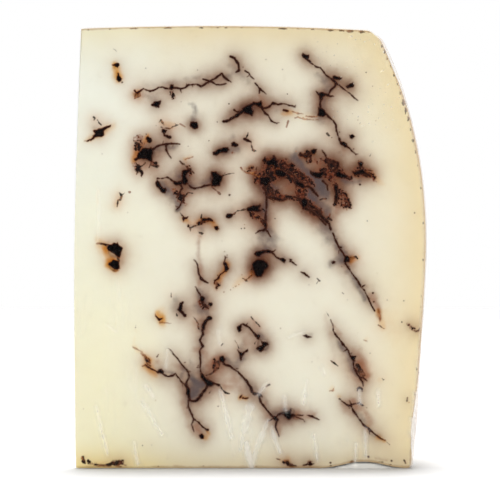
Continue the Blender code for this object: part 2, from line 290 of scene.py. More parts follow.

# %% [markdown]
# ## The veins
#
# The veins are cracks and gaps in the curd that were packed with chopped truffle. All of them are read off
# the photograph, in millimetres on the cut face. A lump of truffle is an outline of r and z; a lump with
# little truffle in it is a brown patch. A crack is a stroke: nodes of r, z and width. Brown and orange
# strokes are where the juice has dried. A stroke with one node is a crumb.

# %% Outlines of the lumps
LUMPS = [
    [(12.9, 123.8), (13.5, 124.2), (14.4, 124.5), (15, 124.4), (15, 123.5), (14.6, 122.9), (13.8, 123.3)],
    [(14.6, 121.6), (15, 120.7), (15.9, 119.6), (15.6, 118.9), (14.9, 118.6), (14.2, 119.3), (14.4, 120.4)],
    [(24.8, 111.5), (25.7, 112.4), (26.8, 112.6), (27.9, 113), (27.6, 111.7), (27.1, 110.7), (26.1, 111)],
    [(36.8, 106.4), (38.9, 106.4), (39.2, 105.4), (39.1, 104.3), (38, 104.1), (36.9, 104.8), (36.8, 105.7)],
    [(4.3, 100.5), (5.5, 100.8), (6.7, 101.4), (7.6, 102.8), (7, 103.7), (8.3, 104), (9.2, 104.3),
     (10.1, 104.6), (11.3, 105.1), (12.6, 105.5), (12.4, 104.9), (11, 104.1), (10.3, 103.5), (10.3, 102.1),
     (9.2, 101.7), (8, 101.7), (6.7, 100.8), (5.2, 100.3)],
    [(28.2, 104.1), (29.7, 103.8), (29.4, 103.1), (28.7, 102.6), (28.1, 103.2)],
    [(28.5, 102.9), (29.4, 102.3), (30.7, 102.1), (31.1, 101.4), (30.5, 101.1), (29.4, 101.7), (28.7, 102)],
    [(30.3, 116.7), (31, 117.9), (31.7, 117.8), (31.9, 116.7), (31, 116.1)],
    [(52.7, 110.6), (54, 111.3), (55.2, 111.8), (56.4, 112.6), (57.6, 112.4), (58.6, 113), (59, 112.1),
     (58.9, 111.2), (58.3, 110.6), (57.3, 111.2), (56.4, 111.5), (55.8, 110.9), (56.4, 109.7), (56, 108.1),
     (54.9, 108.6), (53.4, 108.9), (52.9, 109.7)],
    [(46.6, 106.6), (47.5, 106.9), (49.1, 107.3), (49.7, 107.1), (48.4, 106.3), (47.2, 106.1)],
    [(71.5, 127.5), (72.2, 127), (73.4, 127.1), (73.3, 126.2), (73.1, 125.3), (72.2, 125.6), (71.5, 126.1),
     (71, 126.8)],
    [(80.7, 120.4), (81.3, 120.6), (82.2, 120.1), (83.4, 119.9), (83, 119.3), (81.6, 119.3), (80.7, 119.6)],
    [(84.6, 117.3), (85.6, 117.8), (86.8, 118.6), (87.1, 117.2), (86.2, 116.9), (85.1, 116.7)],
    [(75.4, 115.8), (76.4, 115.2), (77.6, 115.5), (79.1, 114.9), (81, 114.1), (80, 114), (78.5, 114.4),
     (77.6, 114), (77.4, 113), (76.5, 112.9), (76.4, 114.3)],
    [(76.1, 110.9), (77.3, 110.6), (78.2, 109.8), (78.8, 108.4), (77.9, 108), (76.4, 108.1), (75.9, 108.4),
     (76.2, 109.7)],
    [(85.7, 102.3), (86.8, 102.5), (87.4, 101.8), (86.5, 101.1), (85.9, 101.4)],
    [(23.3, 101.4), (23.9, 102), (24.8, 101.4), (25.1, 100.5), (24.5, 99.8), (23.6, 100.3)],
    [(22.1, 98.3), (23.6, 98.3), (24.8, 98.6), (25.3, 98), (25.3, 96.5), (25.1, 95.2), (25.4, 94),
     (24.5, 94.3), (23.3, 94.9), (21.8, 95.1), (20.8, 94.9), (19.9, 94.3), (19.6, 94.9), (20.5, 95.6),
     (20.8, 96.8), (21.5, 97.4)],
    [(34.3, 91.3), (35.3, 91.6), (36.8, 91.9), (37.1, 91.6), (36, 90.6), (35.6, 89.4), (36.2, 88.5),
     (36.2, 87.6), (35.6, 87.1), (34.3, 87.3), (34, 88.2), (34.3, 89.4)],
    [(31.3, 88.5), (31.9, 88.3), (32.8, 87.9), (34, 88.3), (34.6, 87.9), (34, 87), (32.8, 86.8),
     (31.9, 87.1), (31.6, 87.9)],
    [(26.2, 87.9), (26.7, 88.5), (27.3, 88), (27.9, 87), (28.5, 86), (29.4, 86.2), (29.7, 85.4),
     (29.1, 84.4), (28.4, 84.5), (27.6, 85.4), (26.7, 86.3), (26.2, 87.3)],
    [(34.3, 78.1), (34.9, 77.1), (36.3, 77.3), (35.9, 76.5), (35.1, 76.4), (34.8, 75.6), (34.5, 76.4),
     (34.6, 77.1)],
    [(40.5, 76.8), (41.4, 76.8), (42.6, 77), (43.5, 76.4), (44.3, 75.5), (43.2, 75.8), (42, 76.1),
     (40.9, 75.9), (40.5, 74.7), (40, 74.7), (40.3, 75.9)],
    [(44.2, 74.2), (45.1, 74.4), (45.8, 73.5), (45.2, 73), (44.3, 73.6)],
    [(43.2, 91.1), (44.8, 91.1), (45.7, 90.3), (46.8, 89.7), (46.6, 88.8), (46.1, 87.9), (46, 86.8),
     (44.5, 86.5), (43.2, 86.7), (43.2, 87.9), (43.7, 88.8), (43.4, 90)],
    [(43.8, 97.1), (44.8, 97.5), (45.7, 98), (46.9, 98.5), (48.4, 98.6), (48.9, 97.7), (48.1, 96.9),
     (46.9, 96.9), (45.7, 96.6), (44.8, 96), (44, 96.2)],
    [(49.4, 99.8), (50.3, 100.3), (51.2, 99.7), (51.7, 99.1), (50.9, 98.6), (49.7, 98.8)],
    [(53, 101.1), (53.7, 101.5), (54.3, 101.1), (55.3, 100.6), (55.5, 100.2), (54.6, 100.2), (53.8, 100.6)],
    [(54, 79.6), (54.9, 80.2), (56.1, 80.7), (57.6, 80.7), (58.3, 81.3), (58.6, 80.5), (58, 79.6),
     (58.9, 79.1), (58.3, 78.7), (56.4, 78.8), (55.2, 78.7), (54.3, 79)],
    [(47.8, 77.5), (48.4, 78.2), (49.4, 78.2), (50.1, 77.8), (49.4, 77), (48.4, 76.8), (47.8, 77)],
    [(58, 89.4), (58.9, 89.4), (60.1, 89.6), (61.3, 89.4), (61.9, 88.5), (61, 87.6), (60.4, 86.7),
     (59.5, 85.7), (59.2, 87), (58.1, 87.1), (58.3, 88.2)],
    [(62.9, 91.6), (64.1, 91.9), (65.3, 91.6), (66.5, 90.6), (66.2, 89.7), (64.7, 89.4), (63.5, 89.6),
     (62.6, 90.6)],
    [(67.5, 93.3), (68.7, 93.3), (68.4, 92.2), (67.6, 92.5)],
    [(61.3, 83.6), (62.9, 83.4), (64.4, 83), (65.3, 82.5), (67.2, 83), (65.6, 82.1), (63.8, 82.1),
     (61.9, 82.8)],
    [(73.9, 97.7), (74.8, 98.2), (75.7, 98), (75.6, 97.1), (75.1, 96.3), (74.2, 96.5), (73.9, 97.1)],
    [(73.6, 91.6), (74.5, 91), (76.1, 90.8), (77.3, 91.3), (78.5, 91.7), (77.9, 90.3), (77, 89.1),
     (75.4, 89.1), (73.9, 90.2)],
    [(81.3, 91), (82.5, 91.1), (83.7, 90.6), (85.3, 89.7), (84.9, 89), (83.1, 89.1), (81.6, 89.6)],
    [(81.1, 87.3), (82.2, 87.1), (82.2, 85.4), (82.2, 83.3), (81.9, 81.4), (81.1, 82.1), (81.3, 83.9),
     (81.1, 85.7)],
    [(70.8, 82.7), (72.1, 83), (73.1, 82.4), (73, 81.1), (72.4, 80.2), (71.5, 79.4), (71, 80.5),
     (70.7, 81.7)],
    [(86.5, 91.3), (87.7, 91.1), (88.6, 91.6), (89.9, 92), (90.5, 91.3), (91.4, 90.6), (92.6, 89.9),
     (92.3, 89.3), (90.8, 90), (89.2, 90.3), (88, 89.9), (87.1, 90.2)],
    [(88.3, 93.9), (89.2, 94.2), (90, 93.7), (89.7, 92.8), (90.2, 91.9), (89.1, 92.5), (88.6, 93.1)],
    [(82.8, 100.2), (84, 100.3), (84.9, 99.7), (85.3, 98.8), (84.3, 98.5), (83.7, 99.1), (83, 99.5)],
    [(59, 75.6), (60.1, 75.6), (60.4, 74.4), (60.4, 73.2), (59.2, 72.7), (58, 72.9), (58.9, 73.3),
     (59.8, 73.8)],
    [(11.6, 68.6), (12.9, 68.7), (13.6, 69.3), (14.1, 69), (14.6, 69.5), (15, 68.4), (15.9, 67.9),
     (16.1, 67.5), (15.6, 66.4), (15.5, 65.5), (15.2, 64.6), (14.1, 65.2), (12.9, 66.1), (11.6, 66.9),
     (11.2, 67.6)],
    [(11.6, 62.7), (12.4, 63.3), (13.2, 64), (14.1, 63.8), (14.9, 63.5), (15, 62.4), (15.3, 61.3),
     (14.4, 60.9), (13.5, 61), (12.6, 61.8), (11.8, 62.3)],
    [(56.4, 65.8), (57.3, 66.6), (58.9, 66.9), (60.4, 67.1), (61.8, 66.9), (61.6, 66.1), (60.1, 66.3),
     (58.9, 65.8), (58.3, 64.9), (57.3, 65)],
    [(55.8, 62.7), (56.4, 63.5), (57.3, 64.1), (58.6, 64.2), (59.5, 64), (60.4, 63.2), (60.9, 62.3),
     (60.7, 61.5), (59.8, 60.9), (59.3, 59.7), (58.6, 58.7), (57.3, 58.7), (56.6, 59.4), (56.4, 60.6),
     (56, 61.3)],
    [(47.1, 63.5), (47.8, 63.3), (48.4, 62.1), (48.8, 61.3), (48.1, 60.3), (47.2, 60.1), (47.4, 61.2),
     (47.4, 62.1), (46.9, 62.9)],
    [(39.9, 52.9), (40.8, 52.8), (41.4, 52), (41.1, 51.1), (40.5, 50.8), (39.9, 51.4)],
    [(42.5, 50.9), (43.4, 50.9), (43.7, 50.2), (43.1, 49.7), (42.3, 50)],
    [(64.4, 64.4), (65.6, 64.6), (66.2, 64), (65.9, 63), (65, 63.5), (64.4, 64)],
    [(67.2, 64.3), (68.1, 64.1), (67.9, 63.3), (67.3, 63.3)],
    [(33.7, 50.8), (34.8, 51.1), (34.5, 49.8), (34.3, 48.6), (35.1, 47.5), (35.7, 47.2), (35.6, 46.5),
     (34.8, 46.6), (34.2, 47.5), (33.4, 48.3), (32.8, 48.6), (33.4, 49.4)],
    [(26.1, 47.4), (26.7, 46.6), (27.4, 46), (28.4, 46.2), (28, 45.6), (27.4, 45.2), (26.7, 45.9),
     (26.2, 46.6)],
    [(42.6, 46.8), (43.4, 46.5), (43.5, 45.6), (42.6, 45.4), (42, 44.9), (41.5, 44), (41.4, 43.1),
     (40.9, 42.3), (40.5, 42.5), (40.3, 43.4), (40.6, 44.3), (41.2, 45.4), (42, 46.2)],
    [(27, 30.2), (28.2, 30.5), (28.7, 29.6), (28.5, 28.8), (27.6, 29.1), (26.8, 29.4)],
    [(40, 29.8), (40.8, 29), (41.7, 27.8), (42.9, 27), (44, 26.5), (44.2, 25.6), (42.9, 25.2), (42, 24.8),
     (41.7, 25.6), (40.9, 26.8), (40, 28.1)],
    [(34.9, 26.1), (36.2, 25), (36.9, 24.1), (36.8, 22.2), (37.1, 20.9), (36.3, 21.3), (35.6, 22.9),
     (35.6, 24.5)],
    [(45.8, 34.2), (46.9, 34.5), (47.7, 33.6), (47.1, 32.5), (46.1, 32.5), (45.7, 33.3)],
    [(52.1, 35.7), (53, 35.4), (54, 36.3), (54.6, 36.7), (54.6, 35.9), (53.5, 35.4), (52.9, 34.5),
     (52.7, 33.3), (52.3, 33), (52.1, 34.2), (51.7, 35.4)],
    [(51.2, 43.4), (52.1, 43.9), (52.7, 44.3), (52.7, 43.4), (52.3, 42), (51.8, 41.7), (51.4, 42.5)],
    [(57, 41), (58, 41.1), (58.4, 40.3), (58, 39.4), (57.2, 39.7)],
    [(58.3, 39.6), (59.2, 38.8), (60.4, 38.7), (60.9, 38), (59.9, 37.3), (59.3, 36.3), (58.6, 35.7),
     (57.6, 36.3), (57, 36.8), (58, 37.3), (58.9, 37.9), (58.6, 38.7)],
    [(56, 23.5), (56.9, 23.3), (57.3, 22.9), (56.6, 22.4), (56, 22.7)],
    [(41.7, 12.1), (42.6, 12.1), (42.6, 11.5), (41.9, 11.3)],
    [(39.6, 10), (40.5, 10.6), (41.1, 10), (40.9, 9), (40.2, 9)],
    [(62.2, 16.1), (63.2, 15.8), (64.1, 14.9), (63.8, 14.3), (62.9, 14.6), (62.2, 15.2)],
    [(65.6, 17.3), (66.9, 17.5), (67.5, 18.1), (67.9, 18.3), (67.9, 15.8), (67.5, 15), (66.9, 14.9),
     (66.2, 15.6), (65.6, 16.3)],
    [(85.9, 34.4), (86.8, 34.5), (87.9, 34.4), (87.4, 33.3), (87.6, 32.7), (86.8, 33), (86.2, 33.6)],
    [(84.3, 65.2), (85.3, 65.2), (85.9, 64.6), (85.9, 63.2), (84.9, 63.3), (84.3, 62.7), (84, 63.7)],
    [(71.5, 40.8), (72.4, 41.1), (73.3, 40.6), (74.2, 40.2), (73, 40), (72.1, 40.4)],
    [(73, 1.1), (73.3, 2), (73.9, 2.1), (74.2, 1.4), (74.8, 1.4), (74.2, 0.8), (73.3, 0.8)],
    [(80.2, 63.3), (80.8, 63.7), (81.4, 63.4), (81.3, 62.7), (80.5, 62.7)],
    [(58.9, 94.6), (59.8, 95.7), (60.4, 94.5), (61.6, 94.8), (62.6, 96.2), (63, 94.6), (64.1, 94.5),
     (63.5, 93.4), (64.4, 92.5), (63.2, 92), (61.9, 93.1), (60.7, 92.5), (60.1, 93.7)],
    [(69, 88.5), (70.2, 88), (71.5, 87.6), (72.4, 86.3), (71.5, 85.7), (70.2, 86.5), (69, 87.3)],
    [(70.2, 91.3), (71.5, 90.6), (72.4, 89.6), (71.5, 89.7), (70.5, 90.3)],
]
PATCHES = [
    [(19.9, 114.9), (21.5, 115.5), (21.8, 114.3), (20.8, 113.7), (19.6, 113.3)],
    [(78.5, 103.1), (79.1, 103.2), (79.9, 102.1), (79.4, 101.7), (78.7, 102.3)],
    [(55.7, 98.6), (56.1, 98.3), (57.3, 97.4), (56.4, 97.1), (55.7, 97.5)],
    [(73.3, 79.9), (74.5, 79.6), (75, 78.4), (74.5, 77.3), (73.6, 77.8), (73.1, 79)],
    [(36.5, 74.2), (36.9, 74.1), (37.2, 73.2), (36.9, 72.4), (36.6, 73.3)],
    [(39.1, 72.9), (40.2, 72.5), (41.1, 72.1), (40.5, 71.6), (39.4, 72.1)],
    [(40.2, 50.8), (41.1, 50.6), (41.9, 49.7), (42.5, 49.2), (41.5, 49.2), (40.6, 49.8)],
    [(44.8, 33), (45.8, 33.1), (46.1, 32.1), (45.7, 30.5), (44.2, 29.9), (44, 31.1)],
    [(23.3, 34), (24.2, 33.9), (24.5, 33), (23.9, 32.4), (23, 33), (22.7, 33.6)],
    [(87.4, 32.5), (88.6, 32.1), (89.9, 30.2), (90.8, 28.4), (89.9, 27.6), (88.8, 28.4), (87.9, 29.9)],
    [(65.9, 2.3), (66.9, 2.4), (67.3, 1.4), (66.9, 0.8), (66.2, 1.4)],
    [(38.9, 44), (39.6, 43.7), (39.9, 42.6), (39.2, 42.6)],
    [(61, 95.1), (61.9, 95.4), (62.2, 94), (62.9, 92.8), (61.6, 92.5)],
    [(44.9, 57.5), (45.4, 56.9), (45.2, 55.2), (44.7, 55.2), (44.6, 56.6)],
]

# %% Cracks
CRACKS = [
    [(19.8, 116, 0.44), (20.5, 115.2, 0.64), (21.5, 115.8, 0.54), (22.4, 116.6, 0.44), (23.3, 116.1, 0.39),
     (24.5, 115.8, 0.44), (25.7, 116.1, 0.39), (27, 117, 0.44), (28.2, 117.2, 0.39), (29.4, 116.7, 0.44),
     (30.7, 116.4, 0.49), (31.3, 116.7, 0.49), (32.5, 116.7, 0.39), (34, 116.6, 0.39), (35.3, 117, 0.49),
     (36.2, 117.8, 0.49), (37.7, 117.9, 0.39), (39.2, 117.6, 0.44), (40.2, 117.2, 0.49),
     (41.4, 117.9, 0.49), (42.6, 118.9, 0.49), (43.5, 118.6, 0.54), (44.8, 117.9, 0.44),
     (46.3, 117.8, 0.44), (47.8, 118.1, 0.34)],
    [(40.8, 119.5, 0.39), (42, 119.2, 0.54), (42.9, 118.9, 0.49), (44.2, 119.5, 0.39), (45.4, 120.6, 0.49),
     (46.6, 121.3, 0.49), (47.2, 120.1, 0.59), (48.1, 119.5, 0.54), (49.1, 119, 0.44), (49.4, 118.6, 0.29)],
    [(49.2, 126.4, 0.54), (50.4, 125.8, 0.69), (51.1, 124.7, 0.59), (51.7, 123.8, 0.69),
     (51.7, 122.2, 0.59), (50.9, 121.6, 0.34)],
    [(53.7, 122.1, 0.39), (54.9, 121.5, 0.44), (55.5, 120.4, 0.39), (56.4, 119.5, 0.25)],
    [(56.7, 118.3, 0.29), (57.6, 117.3, 0.44), (58.3, 116.6, 0.49), (59.2, 115.8, 0.44), (60.1, 114.9, 0.25)],
    [(58.3, 116.1, 0.39), (58.1, 115.2, 0.25)],
    [(49.1, 107.2, 0.64), (50.3, 107.8, 0.83), (51.5, 108.6, 0.98), (53, 109.7, 1.03)],
    [(50.3, 110, 0.39), (51.5, 109.4, 0.59)],
    [(58.6, 111.2, 0.64), (59.2, 110, 0.54), (60.1, 109, 0.49), (60.9, 108.3, 0.44), (61.3, 107.5, 0.39),
     (61.9, 106.6, 0.34), (63.5, 105.8, 0.22)],
    [(58.9, 110.6, 0.49), (60.1, 110.7, 0.44), (61.3, 111.2, 0.49), (62.2, 112, 0.69), (63.8, 111.7, 0.44),
     (65.3, 111.9, 0.34), (66.9, 111.5, 0.34), (69, 110.9, 0.25)],
    [(65.6, 110, 0.59), (66.9, 109.7, 0.49)],
    [(73, 125.3, 0.54), (74.2, 124.2, 0.39), (75.4, 123.3, 0.39), (76.7, 122.9, 0.39), (77.6, 121.8, 0.49),
     (78.5, 120.7, 0.39), (79.7, 119.8, 0.44), (81, 118.9, 0.59), (81.6, 118.4, 0.64), (81.3, 117.3, 0.54),
     (80.3, 116.6, 0.44), (79.7, 115.8, 0.39), (79.4, 114.9, 0.39)],
    [(81.6, 118.3, 0.49), (83.1, 117.3, 0.39), (84.3, 116.3, 0.34), (85.6, 115.2, 0.34),
     (86.8, 114.1, 0.29), (88.3, 112.9, 0.2)],
    [(77, 113, 0.54), (76.8, 111.8, 0.49), (76.8, 110.7, 0.59)],
    [(78.8, 108.7, 0.54), (80, 107.5, 0.39), (81, 106.6, 0.39), (81.6, 105.4, 0.44), (81.7, 103.8, 0.39),
     (82.2, 102, 0.39), (82.8, 100.5, 0.49)],
    [(84.9, 98.9, 0.44), (85.9, 98, 0.34), (86.8, 97.1, 0.34), (87.7, 96.3, 0.25)],
    [(25.4, 98, 0.59), (26.7, 98.9, 0.44), (28.2, 99.4, 0.49), (29.7, 99.5, 0.54), (31.3, 99.7, 0.44),
     (33.6, 99.5, 0.25)],
    [(29.4, 99.2, 0.54), (29.3, 97.9, 0.49), (29.7, 97.1, 0.39), (30.3, 96.2, 0.29), (31, 95.2, 0.2)],
    [(26.8, 89, 0.44), (27.9, 88.8, 0.39), (28.8, 89, 0.39), (29.7, 89.3, 0.39), (30.3, 89.1, 0.39),
     (31.3, 88.3, 0.44)],
    [(34, 87, 0.49), (34.6, 86, 0.49), (34, 85.4, 0.44), (33.4, 84.2, 0.44), (32.6, 83.1, 0.29)],
    [(34.9, 83.6, 0.34), (34.9, 82.4, 0.39), (34.2, 81.4, 0.39), (33.6, 80.2, 0.39), (32.5, 79.3, 0.25)],
    [(36.2, 87.3, 0.44), (37.1, 86.3, 0.49), (38.3, 86, 0.54), (39.9, 86.3, 0.59), (41.4, 86.7, 0.64),
     (42.9, 87, 0.74)],
    [(59, 86.3, 0.49), (60.1, 85.4, 0.59), (60.4, 83.3, 0.54), (60.3, 80.8, 0.49), (60.1, 78.1, 0.49),
     (59.9, 75.6, 0.59)],
    [(62.4, 95.9, 0.64), (62.9, 95.2, 0.59), (62.9, 94.3, 0.64), (63.5, 93.1, 0.74), (62.9, 92.2, 0.64)],
    [(65.8, 93.7, 0.49), (66.9, 92.8, 0.54), (67.5, 92.8, 0.39)],
    [(66.9, 91, 0.59), (68.7, 89.7, 0.64), (69.9, 88.2, 0.59), (70.5, 87, 0.49)],
    [(68.1, 89.1, 0.44), (69.3, 87, 0.49), (69.3, 86, 0.34)],
    [(61.6, 85.1, 0.39), (62.6, 83.9, 0.39)],
    [(60.7, 83.3, 0.39), (61.9, 83.6, 0.49)],
    [(68.7, 83.3, 0.49), (69.9, 83, 0.54), (70.8, 82.7, 0.64)],
    [(71.5, 86.3, 0.64), (73, 86.7, 0.74), (74.2, 86, 0.74), (75.4, 84.5, 0.64), (76.1, 83.6, 0.49)],
    [(77.6, 88.2, 0.54), (79.1, 87, 0.54), (79.1, 85.4, 0.39)],
    [(78.8, 94.6, 0.49), (79.4, 92.8, 0.54), (80, 91.6, 0.49)],
    [(80.7, 94.3, 0.59), (82.2, 93.7, 0.64), (81.9, 92.2, 0.64), (81, 91.6, 0.49)],
    [(70.8, 96.2, 0.74), (72.7, 95.6, 0.74), (73.6, 96.8, 0.74)],
    [(73.3, 81.1, 0.64), (74.8, 80.2, 0.74), (75.7, 79.6, 0.74), (76.4, 78.7, 0.74), (77, 77.5, 0.79),
     (78.2, 76.2, 0.79), (79.4, 75, 0.69), (80, 73.3, 0.49)],
    [(80.6, 72.2, 0.39), (81.3, 70.7, 0.47), (81.9, 69.2, 0.47), (82.5, 67.9, 0.49), (83.1, 67, 0.54),
     (84, 65.8, 0.59), (84.6, 64.6, 0.69)],
    [(83.1, 67.8, 0.69)],
    [(84.3, 63.3, 0.59), (84.9, 62.1, 0.49), (85.9, 60.7, 0.44), (87.1, 59, 0.44), (88.3, 57.4, 0.44),
     (89.2, 55.7, 0.49), (90.2, 54.8, 0.44), (90.8, 53.5, 0.44), (91.4, 52.3, 0.47), (92, 51.1, 0.49),
     (92.6, 49.8, 0.49), (93.5, 48.3, 0.39)],
    [(89.6, 55.7, 0.29), (90.5, 56.3, 0.2)],
    [(92.9, 53.8, 0.47)],
    [(93.2, 51.1, 0.42)],
    [(57, 72.2, 0.25), (58.3, 73, 0.44)],
    [(60.4, 72.9, 0.44), (61, 71.9, 0.34), (61.6, 71, 0.25)],
    [(47.5, 65, 0.2), (47.6, 64.3, 0.29), (47.5, 63.3, 0.49)],
    [(47.2, 60.3, 0.44), (46, 59.5, 0.54), (45.4, 58.4, 0.44), (44.5, 57.7, 0.34), (44.3, 56.6, 0.25)],
    [(38, 64, 0.25), (38.9, 62.7, 0.32), (39.4, 61.2, 0.37), (39.6, 59.7, 0.44), (40.2, 58.1, 0.64),
     (41.1, 57.5, 0.49), (42.3, 56.9, 0.25)],
    [(38.5, 55.7, 0.25), (39.2, 54.4, 0.37), (40, 53.1, 0.54)],
    [(40.5, 50.8, 0.59), (41.4, 49.7, 0.59), (42.3, 49.2, 0.29)],
    [(70.8, 60.3, 0.25), (71.8, 59.7, 0.49), (72.4, 59.2, 0.54), (73.3, 58.7, 0.39)],
    [(68.1, 63.3, 0.37), (69.5, 62.3, 0.2)],
    [(61.8, 66.4, 0.49), (62.6, 65.5, 0.39), (63.5, 64.7, 0.34), (64.4, 64.3, 0.49)],
    [(40.6, 42.5, 0.64), (40.9, 41.1, 0.59), (40.3, 40.2, 0.59), (39.8, 39.4, 0.54), (40.2, 38.5, 0.64),
     (40.8, 37.4, 0.64), (40.2, 36.7, 0.49), (39.8, 35.9, 0.44), (40, 34.8, 0.49), (40, 33.6, 0.44),
     (40.2, 32.4, 0.44), (40, 30.8, 0.44), (40.1, 29.6, 0.59)],
    [(42, 25, 0.64), (41.4, 24.1, 0.69), (40.5, 22.9, 0.74), (39.6, 21.6, 0.69), (38.6, 20.8, 0.64),
     (37.4, 20.6, 0.59), (36.5, 21, 0.54)],
    [(30.2, 36.8, 0.2), (31.3, 35.6, 0.27), (32.5, 34, 0.34), (33.7, 32.5, 0.37), (34.9, 31, 0.42),
     (36, 29.6, 0.44), (36.5, 28.1, 0.42), (36, 27, 0.44), (35.6, 25.9, 0.59)],
    [(33.7, 27.3, 0.29), (34.9, 25.9, 0.44)],
    [(23, 31.7, 0.39), (24.5, 30.8, 0.44), (26.1, 29.8, 0.54), (27, 29.3, 0.59)],
    [(28.5, 28.8, 0.54), (30, 28.1, 0.49), (31.6, 28.4, 0.44), (32.3, 29.1, 0.39), (33.1, 27.9, 0.34),
     (33.7, 27.3, 0.25)],
    [(36.2, 21, 0.49), (36.3, 19.2, 0.44), (36.8, 17.6, 0.44), (37.4, 16.1, 0.49), (38, 14.9, 0.64)],
    [(37.7, 14.6, 0.37), (37.2, 13.3, 0.29), (37.7, 11.8, 0.27), (38, 11.2, 0.2)],
    [(38.3, 14.9, 0.49), (39.6, 14.1, 0.42), (40.8, 12.7, 0.44), (41.7, 11.8, 0.49)],
    [(46.6, 32.7, 0.59), (47.5, 31.7, 0.49), (49.1, 31.4, 0.47), (50.6, 30.2, 0.54), (51.5, 29.6, 0.49),
     (52.7, 28.1, 0.49), (54, 26.8, 0.54), (54.9, 25.3, 0.59), (55.5, 24.4, 0.74), (55.8, 23.5, 0.64)],
    [(57, 22.9, 0.54), (57.6, 23, 0.49), (58.3, 22.5, 0.64), (58.9, 21.9, 0.34)],
    [(58, 22.2, 0.44), (58.3, 21, 0.54), (58.9, 19.8, 0.49), (60.1, 18.3, 0.49), (61.3, 16.7, 0.49),
     (62.2, 15.8, 0.54)],
    [(61, 14.6, 0.29), (62.2, 15.2, 0.44)],
    [(62.9, 15.5, 0.64), (63.8, 16.4, 0.64), (65.3, 16.9, 0.69), (66.2, 17, 0.74)],
    [(67.8, 16.3, 0.54), (69.6, 16.4, 0.37), (71.5, 16.3, 0.27)],
    [(68.1, 16, 0.39), (69.9, 15.5, 0.32), (71.5, 15, 0.25)],
    [(72.7, 16.4, 0.27), (74.2, 16, 0.42), (75.4, 15.3, 0.37), (76.4, 14.9, 0.22)],
    [(63.5, 14.6, 0.49), (63.2, 12.7, 0.39), (63.6, 11.5, 0.34), (64.1, 9.7, 0.2)],
    [(80, 45.6, 0.2), (80.7, 44, 0.32), (80.8, 42.2, 0.49), (81.6, 41, 0.44), (82.5, 39.9, 0.44),
     (83.1, 39, 0.44), (83.7, 37.9, 0.54), (84.6, 37, 0.47), (85.3, 36, 0.44), (85.6, 35.1, 0.47),
     (86, 34.2, 0.59)],
    [(87.1, 33, 0.49), (87.1, 31.4, 0.42), (87.4, 30.2, 0.42), (88, 29, 0.44), (88.9, 27.8, 0.54)],
    [(88.9, 27.8, 0.44), (89.6, 26.5, 0.37), (89.9, 25.3, 0.22)],
    [(88.9, 28.1, 0.44), (90.2, 27.5, 0.42), (91.1, 26.8, 0.25)],
    [(82.6, 21.3, 0.25), (83.7, 20.6, 0.44), (84.9, 19.6, 0.47), (86.2, 19.2, 0.54), (86.8, 17.9, 0.49),
     (88, 16.4, 0.44), (88.9, 14.9, 0.44), (90.2, 13.3, 0.47), (91.7, 12, 0.54), (92.9, 10.9, 0.54),
     (94.2, 10, 0.49), (95.4, 9, 0.34), (96.6, 8.6, 0.25)],
    [(86.2, 19.5, 0.44), (87.4, 19.9, 0.34), (88.9, 20.1, 0.34), (89.6, 19.5, 0.49), (89.9, 19.2, 0.25)],
    [(53, 44.3, 0.39), (54, 43.9, 0.42), (54.9, 43.1, 0.47), (55.8, 42.2, 0.49), (56.7, 41.3, 0.49),
     (57.2, 40.6, 0.59)],
    [(51.4, 36.3, 0.25), (52, 35.4, 0.49)],
    [(43.8, 26.1, 0.54), (44.8, 25.8, 0.44), (45.7, 25.5, 0.69)],
    [(52.1, 21.6, 0.34), (52.4, 22.1, 0.54), (52.7, 22.5, 0.29)],
    [(53, 21.6, 0.39), (53.8, 21.4, 0.49), (54.6, 21.6, 0.39)],
    [(88.2, 23.8, 0.27), (88.3, 24.5, 0.42), (88.9, 24.8, 0.47), (89.6, 24.4, 0.42), (89.7, 23.7, 0.22)],
    [(37.1, 91.6, 0.39), (38, 90.6, 0.22)],
    [(78.4, 96, 0.59)],
    [(88.9, 87.1, 0.59)],
    [(55, 92.1, 0.54)],
    [(48.9, 83.9, 0.54)],
    [(33.7, 94.3, 0.25), (34.6, 93.4, 0.47)],
    [(26.7, 34.2, 0.34), (27.1, 34.9, 0.29)],
    [(73.3, 56.3, 0.02)],
    [(103.5, 21.6, 0.39), (103.4, 20.7, 0.54)],
    [(98.6, 2.3, 0.49)],
    [(91.5, 3.5, 0.54)],
    [(79.9, 1.7, 0.44)],
    [(85.9, 1.9, 0.25), (86.9, 2, 0.39)],
    [(71.5, 0.9, 0.25), (72.7, 1.1, 0.39)],
    [(67.5, 0.6, 0.44), (69.3, 0.8, 0.25)],
    [(72.4, 80.2, 0.34), (74.8, 78.4, 0.59), (77, 76.5, 0.54), (78.5, 74.7, 0.39)],
    [(77.3, 97.7, 0.25), (78.8, 95.2, 0.39), (80.7, 93.7, 0.44), (82.2, 91.6, 0.39)],
]
